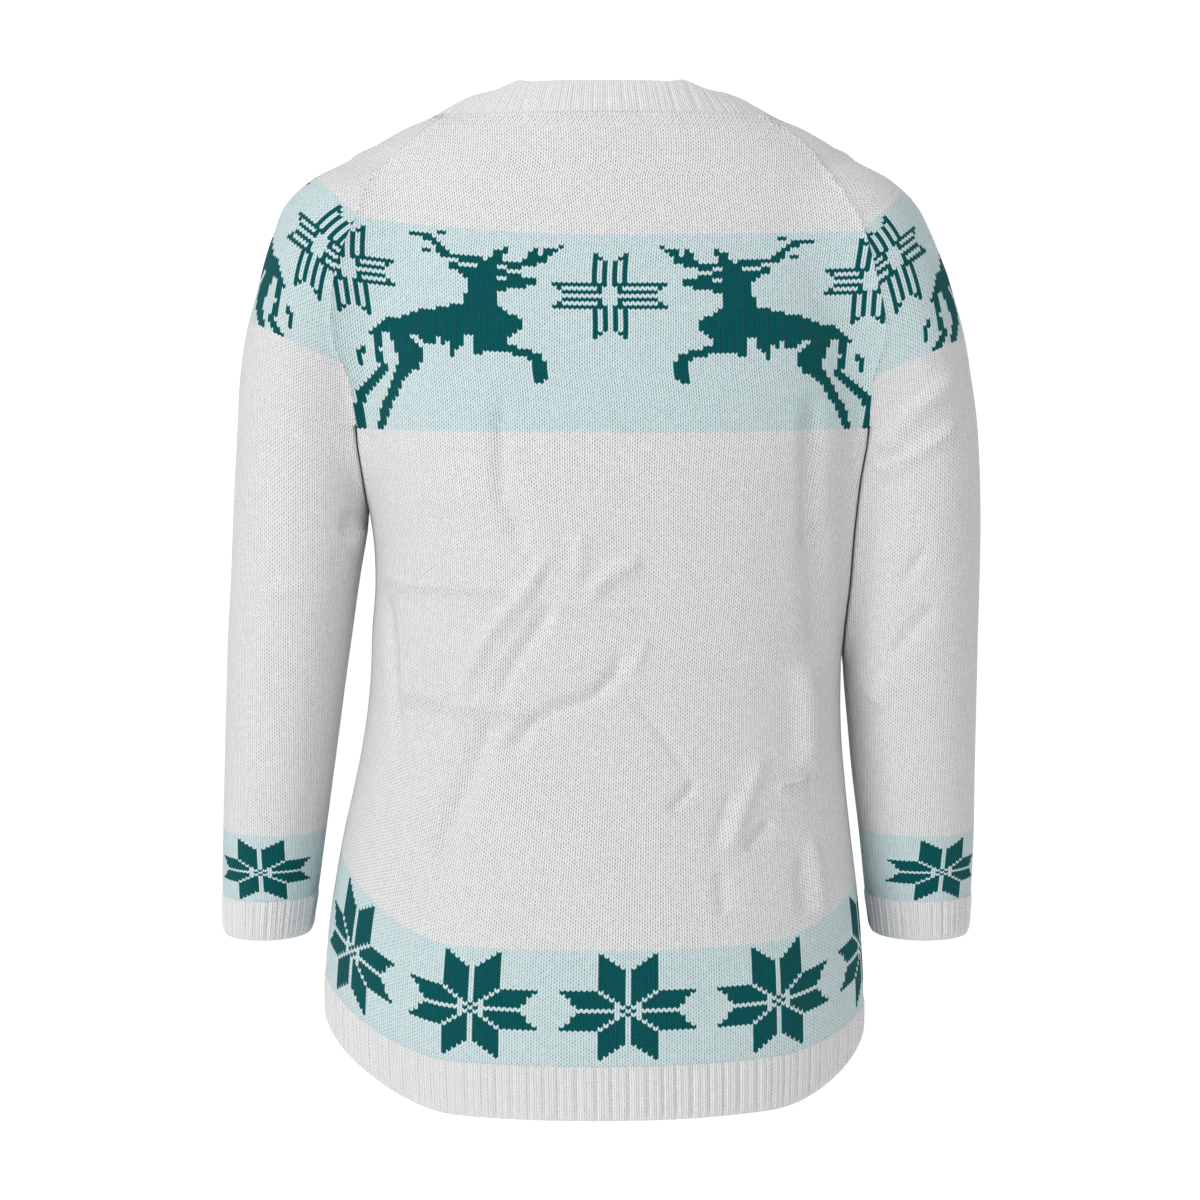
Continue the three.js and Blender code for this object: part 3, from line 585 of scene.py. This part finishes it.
def knitCloth(name, upper, lower, cuts, closed, shapes, foldOf, chartOf, turned):
    # Stitches on two fine grids that share a row. Above it the cloth lies between two raglan seams and keeps the
    # width of its stitches; below it an open half shares the width out, and a closed tube loses stitches at its seam.
    upperRows = len(upper) - 1
    length = alongRows(lower)
    total = length[0, -1]
    parts = [cuts[0], cuts[1] - cuts[0], total - cuts[1]]
    wales = [int(round(part / gauge["wale"])) for part in parts]
    wales[1] += wales[1] % 2
    marks = np.cumsum([0] + wales)
    column = np.arange(2 * marks[3] + 1)
    middle = (marks[1] + marks[2]) / 2
    pitch = parts[1] / wales[1]
    share = np.interp(column / 2, marks, [0, cuts[0] / total, cuts[1] / total, 1])
    widthAbove, widthBelow = alongRows(upper)[:, -1:], length[:, -1:]
    wantAbove = widthAbove / 2 + (column / 2 - middle) * pitch
    wantBelow = share * widthBelow
    if closed:
        start = widthBelow * (cuts[0] + cuts[1]) / 2 / total
        step = np.maximum(pitch, np.maximum(start / middle, (widthBelow - start) / (marks[3] - middle)))
        wantBelow[1:] = (start + (column / 2 - middle) * step)[1:]
    width = np.concatenate([widthAbove[:-1], widthBelow])
    wanted = np.concatenate([wantAbove[:-1], wantBelow])
    laid = np.clip(wanted, 0, width)
    held = np.abs(laid - wanted) > 1e-6
    held[upperRows] = False
    grid = np.concatenate([layStitches(upper[:-1], laid[:upperRows]), layStitches(lower, laid[upperRows:])])
    rows, columns = held.shape
    course = np.repeat(np.arange(rows, dtype=float)[:, None], columns, 1)
    course[1:-1, 1::2] += np.where(held[1:-1, 1::2], 0, 0.5)
    wale = np.where(held, middle + (laid - width / 2) / pitch, column / 2)
    grid = dropCentres(grid, held)
    inner = np.minimum(laid, width - laid)
    seamLine = np.where(np.arange(rows)[:, None] < upperRows, inner, 99)
    sideLine = np.where(np.arange(rows)[:, None] < upperRows, 99, inner)
    normals = np.concatenate([outward(shape, part) for shape, part in
                              zip(shapes, (grid[:upperRows], grid[upperRows:]))])
    fold = foldOf(grid)
    relief = fold + gauge["seamRidge"] * np.exp(-(seamLine / gauge["seamWidth"]) ** 2)
    relief -= gauge["sideFurrow"] * np.exp(-(sideLine / gauge["seamWidth"]) ** 2)
    relief += gauge["neckRidge"] * np.exp(-(np.arange(rows)[:, None] / 1.4) ** 2)
    relief[:, ::2] -= gauge["furrow"]
    index = np.arange(rows * columns).reshape(rows, columns)
    left = np.where(held & (column < columns / 2), column, 0).max(1)[:, None]
    right = np.where(held & (column > columns / 2), column, columns - 1).min(1)[:, None]
    same = np.take_along_axis(index, np.clip(column[None], left, right), 1)
    if closed:
        ends = np.take_along_axis(index, left, 1)[upperRows:]
        same[upperRows:] = np.where(column >= right[upperRows:], ends, same[upperRows:])
    top = index[:upperRows + 1].copy()
    top[-1] = index[upperRows, np.clip(column, 2 * marks[1], 2 * marks[2])]
    bottom = index[upperRows:]
    firstHalf = [top[:, 0], bottom[0, 2 * marks[1] - 1::-1]]
    lastHalf = [bottom[0, -2:2 * marks[2] - 1:-1], top[-2::-1, -1], top[0, -2::-1]]
    if closed:
        rims = [np.concatenate(firstHalf + lastHalf), bottom[-1]]
    else:
        rims = [np.concatenate(firstHalf + [bottom[1:, 0], bottom[-1, 1:], bottom[-2::-1, -1]] + lastHalf)]
    cloth = {"points": grid.reshape(-1, 3), "normals": normals.reshape(-1, 3), "relief": relief.ravel(),
             "fold": fold.ravel(), "uv": np.stack([wale, course], -1).reshape(-1, 2), "same": same.ravel()}
    return sewCloth(name, cloth, [top, bottom], rims, chartOf(middle), turned)


def bodyPanel(side, name):
    upperRows = bodyCut["backRows"] if side < 0 else bodyCut["frontRows"]
    upper, lower = upperBody(side, upperRows), lowerBody(side)
    angle = np.linspace(-90, 90, lower.shape[1])
    centre = torsoCentre(figureForm["underarm"])
    ends = [math.degrees(math.atan2(p[0] - centre, side * p[1])) for p in (upper[-1, 0], upper[-1, -1])]
    cuts = [np.interp(end, angle, alongRows(lower)[0]) for end in ends]
    chestTop, bandTop = upperRows - bodyCut["chestRows"], upperRows + bodyCut["plainRows"]

    def chartOf(middle):
        def chart(column, row):
            chest = chestPattern(column - middle, row - chestTop, bodyCut["chestRows"], 0, 0)
            return chest + starPattern(column - middle - bodyCut["starCentre"], row - bandTop,
                                       bodyCut["bandRows"], bodyCut["starPitch"], bodyCut["starRow"])
        return chart
    return knitCloth(name, upper, lower, cuts, False, (figure, bodyOnly),
                     lambda p: foldHeight(bodyFolds, p), chartOf, side > 0)


sleeveCut = {"shoulderRows": 29, "chestRows": 37, "armpitRows": 20, "plainRows": 114, "bandRows": 32,
             "bandFrom": {"left": 0.32, "right": 0.365}, "bandTo": {"left": 0.79, "right": 0.83},
             "flakeAt": {"left": 0.462, "right": 0.499}, "flakeRow": 13, "chartStart": 1, "deerShift": 3,
             "bandTop": -497, "cuffTop": -544.5, "cuffEnd": -573, "leanNeck": 56, "leanUnderarm": 16,
             "levelAt": -330, "flakeColumn": {"left": -29, "right": -28}, "starColumn": {"left": -19, "right": -17},
             "starPitch": 36, "starRow": 17}


def unit(v):
    return v / np.linalg.norm(v, axis=-1, keepdims=True)


def seamPoint(face, side, t):
    # a raglan seam on one face of the body, on the sleeve's side of the gap: t is 0 at the neck, 1 at the underarm
    z = mix(seamTop(face, side), figureForm["underarm"], t)
    x = side * (readTable(seamTable(face), sideName(side), z) + figureForm["gap"] / 2)
    return castOut(figure, np.stack([x, 0 * x, z], -1), [0, face, 0])


def upperSleeve(side):
    # fine rows from the back seam over the arm to the front seam, in planes that lean outwards less and less
    name = sideName(side)
    stops = [0, sleeveCut["bandFrom"][name], sleeveCut["flakeAt"][name], sleeveCut["bandTo"][name], 1]
    belowFlake = sleeveCut["chestRows"] - sleeveCut["flakeRow"]
    rows = np.cumsum([0, sleeveCut["shoulderRows"], sleeveCut["flakeRow"], belowFlake, sleeveCut["armpitRows"]])
    t = np.interp(np.arange(rows[-1] + 1), rows, stops)[:, None]
    back, front = seamPoint(-1, side, t), seamPoint(1, side, t)
    middle = (back + front) / 2
    toBack = unit(back - front)
    lean = np.radians(mix(sleeveCut["leanNeck"], sleeveCut["leanUnderarm"], t))
    out = np.stack([side * np.cos(lean), 0 * lean, np.sin(lean)], -1)
    out = unit(out - toBack * (out * toBack).sum(-1, keepdims=True))
    reach = t ** 2 * side * (armCentre(side, figureForm["underarm"])[0] - middle[..., 0])
    start = np.arctan2(-reach, np.linalg.norm(back - front, axis=-1) / 2)
    angle = mix(start, math.pi - start, np.linspace(0, 1, 181))[..., None]
    innermost = side * mix(front[..., 0], back[..., 0], 0.5 + 0.5 * np.cos(angle[..., 0])) - 40 * (1 - t)

    def ownHalf(x, y, z):
        # the figure without what lies on the body's side of the seams
        return np.maximum(figure(x, y, z), innermost - side * x)
    points = castOut(ownHalf, middle + out * reach[..., None], toBack * np.cos(angle) + out * np.sin(angle))
    points[:, :1], points[:, -1:] = back, front
    y = mix(points[0, 0, 1], points[0, -1, 1], np.linspace(0, 1, 181))
    edge = np.stack([0 * y + side * 60, y, neckHeight(y)], -1)
    points[0] = castOut(figure, edge, [side, 0, 0])
    return points


def sleeveRing(side, angle, z):
    # the sleeve's surface in the direction of an angle from its back, by way of its outer side
    cx, cy = armCentre(side, z)
    direction = np.stack([side * np.sin(angle), -np.cos(angle), 0 * angle], -1)
    return castOut(sleeveOnly(side), np.stack([cx, cy, z], -1), direction)


def lowerSleeve(side):
    # fine rows round the arm that lean outwards at the underarm and come level further down
    underarm = figureForm["underarm"]
    plain = np.linspace(underarm, sleeveCut["bandTop"], sleeveCut["plainRows"] + 1)
    band = np.linspace(sleeveCut["bandTop"], sleeveCut["cuffTop"] + figureForm["gap"] / 2, sleeveCut["bandRows"] + 1)
    z = np.concatenate([plain, band[1:]])[:, None]
    angle = np.broadcast_to(np.linspace(-math.pi / 2, 1.5 * math.pi, 361), (len(z), 361))
    level = sleeveRing(side, angle, z + 0 * angle)
    hinge = (readTable(backSeam, sideName(side), underarm) + readTable(frontSeam, sideName(side), underarm)) / 2
    fade = 1 - smoothStep((underarm - z) / (underarm - sleeveCut["levelAt"]))
    slope = math.tan(math.radians(sleeveCut["leanUnderarm"]))
    return sleeveRing(side, angle, z + slope * fade * np.maximum(side * level[..., 0] - hinge, 0))


def sleeve(side, pieceName):
    name = sideName(side)
    upper, lower = upperSleeve(side), lowerSleeve(side)
    cx, cy = armCentre(side, figureForm["underarm"])
    angle = np.linspace(-90, 270, lower.shape[1])
    ends = [math.degrees(math.atan2(side * (p[0] - cx), cy - p[1])) for p in (upper[-1, 0], upper[-1, -1])]
    cuts = [np.interp(end, angle, alongRows(lower)[0]) for end in (ends[0], ends[1] % 360)]
    chestTop = sleeveCut["shoulderRows"]
    bandTop = len(upper) - 1 + sleeveCut["plainRows"]

    def chartOf(middle):
        def chart(column, row):
            fromFlake = column - middle - sleeveCut["flakeColumn"][name]
            chest = chestPattern(fromFlake - 54, row - chestTop, sleeveCut["chestRows"], sleeveCut["chartStart"],
                                 sleeveCut["deerShift"])
            return chest + starPattern(column - middle - sleeveCut["starColumn"][name], row - bandTop,
                                       sleeveCut["bandRows"], sleeveCut["starPitch"], sleeveCut["starRow"])
        return chart
    return knitCloth(pieceName, upper, lower, cuts, True, (figure, sleeveOnly(side)),
                     lambda p: foldHeight(sleeveFolds[name], p), chartOf, side < 0)


# Each rib is a flat ridge between narrow furrows, with a shallow furrow along its middle, in a number of cells;
# uneven shifts the ribs to and fro by a share of one
ribCells = 12
hemRibs = {"count": 47, "height": 1.0, "uneven": 0.12, "rows": 14, "fadeIn": 4.0, "edge": 0.9}
cuffRibs = {"count": 31, "height": 0.9, "uneven": 0.14, "rows": 12, "fadeIn": 4.0, "edge": 0.9}
neckRibs = {"count": 68, "height": 0.5, "uneven": 0.34, "rows": 12, "fadeIn": 3.0, "edge": 0.9, "tall": 24.0,
            "start": 0.35, "steepBack": 68, "steepSide": 30, "steepFront": 62, "corner": 2.6, "cornerAt": 66.0,
            "cornerWide": 9.0, "dip": 2.2, "dipAt": 88.0, "dipWide": 12.0}


def evenAngles(curve, angle, count):
    # angles that divide a curve into equal lengths
    length = alongRows(curve[None])[0]
    return np.interp(np.linspace(0, length[-1], count + 1), length, angle)


def ribCloth(name, points, normals, ribs, closed, turned):
    # ridges run down the cloth, fade in below its upper edge and round off at its lower one
    rows, columns = points.shape[:2]
    along = np.arange(columns) / ribCells
    wander = np.sin(along * 2 * math.pi * 5 / ribs["count"]) + 0.8 * np.sin(along * 2 * math.pi * 13 / ribs["count"] + 2)
    phase = along + ribs["uneven"] * wander
    toFurrow = np.abs(phase % 1 - 0.5)
    wave = 1 - np.exp(-(toFurrow / 0.14) ** 2) - 0.4 * np.exp(-((0.5 - toFurrow) / 0.11) ** 2)
    down = np.concatenate([np.zeros((1, columns)),
                           np.cumsum(np.linalg.norm(np.diff(points, axis=0), axis=2), 0)])
    fade = smoothStep(down / ribs["fadeIn"] + 0.15)
    toEdge = down[-1:] - down
    relief = ribs["height"] * (2 * wave - 1) * fade * (0.25 + 0.75 * smoothStep(toEdge / 6))
    relief -= ribs["edge"] * np.exp(-(toEdge / 2) ** 2)
    across = alongRows(points[:1])[0] / gauge["wale"]
    uv = np.stack(np.broadcast_arrays(across[None], down / 2.5), -1)
    index = np.arange(rows * columns).reshape(rows, columns)
    same = index.copy()
    if closed:
        same[:, -1] = index[:, 0]
        rims = [index[0, ::-1], index[-1]]
    else:
        rims = [np.concatenate([index[:, 0], index[-1, 1:], index[-2::-1, -1], index[0, -2::-1]])]
    cloth = {"points": points.reshape(-1, 3), "normals": normals.reshape(-1, 3), "relief": relief.ravel(),
             "fold": 0.5 * relief.ravel(), "uv": uv.reshape(-1, 2), "same": same.ravel()}
    return sewCloth(name, cloth, [index], rims, lambda column, row: 0 * column, turned)


def hemRib(side, name):
    fine = np.linspace(-math.pi / 2, math.pi / 2, 361)
    middle = bodyCut["ribTop"]["middle"]
    angle = evenAngles(ringPoint(side, fine, middle + 0 * fine), fine, ribCells * hemRibs["count"])
    down = np.linspace(0, 1, hemRibs["rows"] + 1)[:, None]
    top = lineHeight(bodyCut["ribTop"], angle) - figureForm["gap"] / 2
    z = mix(top, lineHeight(bodyCut["hemEdge"], angle), down)
    points = ringPoint(side, np.broadcast_to(angle, z.shape), z)
    return ribCloth(name, points, outward(bodyOnly, points), hemRibs, False, side > 0)


def cuff(side, name):
    fine = np.linspace(-math.pi / 2, 1.5 * math.pi, 361)
    angle = evenAngles(sleeveRing(side, fine, sleeveCut["cuffTop"] + 0 * fine), fine, ribCells * cuffRibs["count"])
    z = np.linspace(sleeveCut["cuffTop"] - figureForm["gap"] / 2, sleeveCut["cuffEnd"], cuffRibs["rows"] + 1)[:, None]
    points = sleeveRing(side, np.broadcast_to(angle, (len(z), len(angle))), z + 0 * angle)
    return ribCloth(name, points, outward(sleeveOnly(side), points), cuffRibs, True, side < 0)


def neckLoop(angle):
    # the neck seam in the direction of an angle from the middle of the back
    def place(r):
        y = 6 - r * np.cos(angle)
        return 2 + r * np.sin(angle), y, neckHeight(y)
    return findNeck(place, 0 * angle, 200 + 0 * angle)


def neckband(name):
    # a band that stands on the neck seam, steep at back and front and flatter on the shoulders
    fine = np.linspace(0, 2 * math.pi, 721)
    angle = evenAngles(neckLoop(fine), fine, ribCells * neckRibs["count"])
    tangent = unit(neckLoop(angle + 0.01) - neckLoop(angle - 0.01))
    facing = np.cos(angle)
    end = np.where(facing > 0, neckRibs["steepBack"], neckRibs["steepFront"])
    slope = np.radians(mix(neckRibs["steepSide"], end, smoothStep((np.abs(facing) - 0.05) / 0.9)))
    rise = np.stack([-np.sin(angle) * np.cos(slope), facing * np.cos(slope), np.sin(slope)], -1)
    normals = unit(np.cross(tangent, rise))
    normals *= np.sign(normals[:, 2:])
    seam = neckLoop(angle)
    fromCorner = (np.abs(seam[:, 0]) - neckRibs["cornerAt"]) / neckRibs["cornerWide"]
    fromDip = (np.abs(seam[:, 0]) - neckRibs["dipAt"]) / neckRibs["dipWide"]
    tall = neckRibs["tall"] + neckRibs["corner"] * np.exp(-fromCorner ** 2) - neckRibs["dip"] * np.exp(-fromDip ** 2)
    along = np.linspace(tall, 0 * tall + neckRibs["start"], neckRibs["rows"] + 1)[..., None]
    points = seam + rise * along
    # rows are laid from the seam upwards, so that the ribs fade in at the seam
    return ribCloth(name, points[::-1], np.broadcast_to(normals, points.shape), neckRibs, True, True)


# Yarn colours and look: legShade and the hole sizes set painted shade in the base colour, between the stitch legs and
# at the holes, and the holes also sink the bump
yarn = {"white": (0.86, 0.86, 0.865, 1), "blue": (0.675, 0.82, 0.835, 1), "teal": (0.001, 0.100, 0.108, 1),
        "legShade": 0.2, "holeWide": 0.42, "nickWide": 0.36, "holeTall": 0.34, "raised": 0.0008, "strength": 0.7,
        "mottle": 0.03, "fuzz": 0.04, "roughness": 0.95, "sheen": 0.03}


class Wire:
    # a socket of a shader that takes part in Python sums; each sum adds its Math node
    def __init__(self, look, socket):
        self.look, self.socket = look, socket

    def sum(self, operation, *values):
        return self.look.node("ShaderNodeMath", {"operation": operation}, dict(enumerate(values)))

    def __add__(self, other):
        return self.sum("ADD", self, other)

    def __radd__(self, other):
        return self.sum("ADD", other, self)

    def __sub__(self, other):
        return self.sum("SUBTRACT", self, other)

    def __rsub__(self, other):
        return self.sum("SUBTRACT", other, self)

    def __mul__(self, other):
        return self.sum("MULTIPLY", self, other)

    def __rmul__(self, other):
        return self.sum("MULTIPLY", other, self)

    def __truediv__(self, other):
        return self.sum("DIVIDE", self, other)

    def __pow__(self, other):
        return self.sum("POWER", self, other)

    def __abs__(self):
        return self.sum("ABSOLUTE", self)

    def sine(self):
        return self.sum("SINE", self)

    def fraction(self):
        return self.sum("FRACT", self)

    def clamped(self):
        return self.look.node("ShaderNodeClamp", {}, {0: self})


class Look:
    # one material and the ways of adding to it
    def __init__(self, name):
        self.material = bpy.data.materials.new(name)
        self.material.use_nodes = True
        self.tree = self.material.node_tree
        self.surface = self.tree.nodes["Principled BSDF"]

    def node(self, kind, settings, values, output=0):
        # settings come first, then the values or links of its sockets, by name or number
        node = self.tree.nodes.new(kind)
        for key, value in settings.items():
            setattr(node, key, value)
        for key, value in values.items():
            if isinstance(value, Wire):
                self.tree.links.new(value.socket, node.inputs[key])
            else:
                node.inputs[key].default_value = value
        return Wire(self, node.outputs[output])

    def blend(self, factor, a, b, way="MIX"):
        settings = {"data_type": "RGBA", "blend_type": way}
        return self.node("ShaderNodeMix", settings, {0: factor, 6: a, 7: b}, 2)

    def feed(self, socket, value):
        self.tree.links.new(value.socket, self.surface.inputs[socket])


def knitLook(name, dyed, holeShade):
    # Each stitch is two legs that lean to its middle: a sine across half a wale, less high along the valleys between
    # courses, which are bent into a V by the distance from the middle. The base colour holds painted shade: darker
    # where the legs are low, and in specks of uneven strength where the valleys meet, between the legs at the middle of
    # the stitch and half a course off at its sides; the same specks sink the bump
    look = Look(name)
    stitches = look.node("ShaderNodeUVMap", {"uv_map": "stitches"}, {})
    wale = look.node("ShaderNodeSeparateXYZ", {}, {0: stitches}, 0)
    course = look.node("ShaderNodeSeparateXYZ", {}, {0: stitches}, 1)
    fromMiddle = 2 * abs(wale.fraction() - 0.5)
    bent = (course - 0.5 * (1 - fromMiddle)).fraction()
    leg = ((wale * 2).fraction() * math.pi).sine().clamped() ** 0.5
    bulge = leg * (0.6 + 0.4 * (bent * math.pi).sine())
    fromCrook = abs(course.fraction() - 0.5)
    gap = (1 - (fromMiddle / yarn["holeWide"]) ** 2 - (fromCrook / yarn["holeTall"]) ** 2).clamped()
    nick = (1 - ((1 - fromMiddle) / yarn["nickWide"]) ** 2 - ((0.5 - fromCrook) / yarn["holeTall"]) ** 2).clamped()
    place = look.node("ShaderNodeTexCoord", {}, {}, "Object")
    uneven = look.node("ShaderNodeTexNoise", {}, {"Vector": place, "Scale": 380.0, "Detail": 1.0}, 0)
    # painted shade specks at the stitch holes, made uneven by noise: they darken the base colour below and sink the
    # bump
    gap = (gap + nick) * (uneven * 2.4 - 0.5).clamped()
    mottle = look.node("ShaderNodeTexNoise", {}, {"Vector": place, "Scale": 28.0, "Detail": 3.0}, 0)
    fibre = look.node("ShaderNodeTexNoise", {}, {"Vector": place, "Scale": 1400.0, "Detail": 2.0}, 0)
    colour = yarn["white"]
    if dyed:
        dye = look.node("ShaderNodeAttribute", {"attribute_name": "dye"}, {}, "Fac")
        colour = look.blend(dye.clamped(), yarn["white"], yarn["blue"])
        colour = look.blend((dye - 1).clamped(), colour, yarn["teal"])
    # painted shade in the base colour: darker between the stitch legs and at the holes; the mottle and fibre noise are
    # the yarn's own uneven tone
    light = (1 - yarn["legShade"] * (1 - bulge)) * (1 - holeShade * gap)
    light = light * (1 + yarn["mottle"] * (mottle - 0.5)) * (1 + yarn["fuzz"] * (fibre - 0.5))
    grey = look.node("ShaderNodeCombineColor", {}, {0: light, 1: light, 2: light})
    look.feed("Base Color", look.blend(1.0, colour, grey, "MULTIPLY"))
    height = bulge - 0.8 * gap + 0.2 * fibre
    bump = look.node("ShaderNodeBump", {}, {"Strength": yarn["strength"], "Distance": yarn["raised"], "Height": height})
    look.feed("Normal", bump)
    look.surface.inputs["Roughness"].default_value = yarn["roughness"]
    look.surface.inputs["Sheen Weight"].default_value = yarn["sheen"]
    look.surface.inputs["Sheen Roughness"].default_value = 0.5
    look.surface.inputs["Specular IOR Level"].default_value = 0.1
    return look.material


# both materials paint shade into the base colour at the stitch holes, the ribbing more faintly
jersey, ribbing = knitLook("jerseyKnit", True, 0.4), knitLook("ribKnit", False, 0.12)

# Flat size of each piece's cut in metres, width and length, its area, and what it hangs from
cuts = {
    "backPanel": ("back_panel", 0.515, 0.635, 0.285, ["neckband"]),
    "frontPanel": ("front_panel", 0.515, 0.610, 0.275, ["neckband"]),
    "leftSleeve": ("sleeve_left", 0.35, 0.56, 0.165, ["backPanel", "frontPanel"]),
    "rightSleeve": ("sleeve_right", 0.35, 0.56, 0.165, ["backPanel", "frontPanel"]),
    "neckBand": ("neckband", 0.60, 0.024, None, ["backPanel", "frontPanel"]),
    "backHem": ("hem_rib_back", 0.515, 0.038, None, ["backPanel"]),
    "frontHem": ("hem_rib_front", 0.515, 0.038, None, ["frontPanel"]),
    "leftCuff": ("cuff_left", 0.235, 0.029, None, ["leftSleeve"]),
    "rightCuff": ("cuff_right", 0.235, 0.029, None, ["rightSleeve"])}


def finishPiece(piece, material):
    node, width, length, area, hangsFrom = cuts[piece.name]
    piece.data.materials.append(material)
    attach(piece, "root")
    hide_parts(node)
    carriers = [name for name in hangsFrom if name in bpy.data.objects] or hangsFrom
    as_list(carriers)


panels = [bodyPanel(-1, "backPanel"), bodyPanel(1, "frontPanel")]
print("body panels knitted")
sleeves = [sleeve(-1, "leftSleeve"), sleeve(1, "rightSleeve")]
print("sleeves knitted")
bands = [neckband("neckBand"), hemRib(-1, "backHem"), hemRib(1, "frontHem"),
         cuff(-1, "leftCuff"), cuff(1, "rightCuff")]
print("ribs knitted")
for cloth in panels + sleeves:
    finishPiece(cloth, jersey)
for cloth in bands:
    finishPiece(cloth, ribbing)
print("faces:", {piece.name: len(piece.data.polygons) for piece in panels + sleeves + bands})
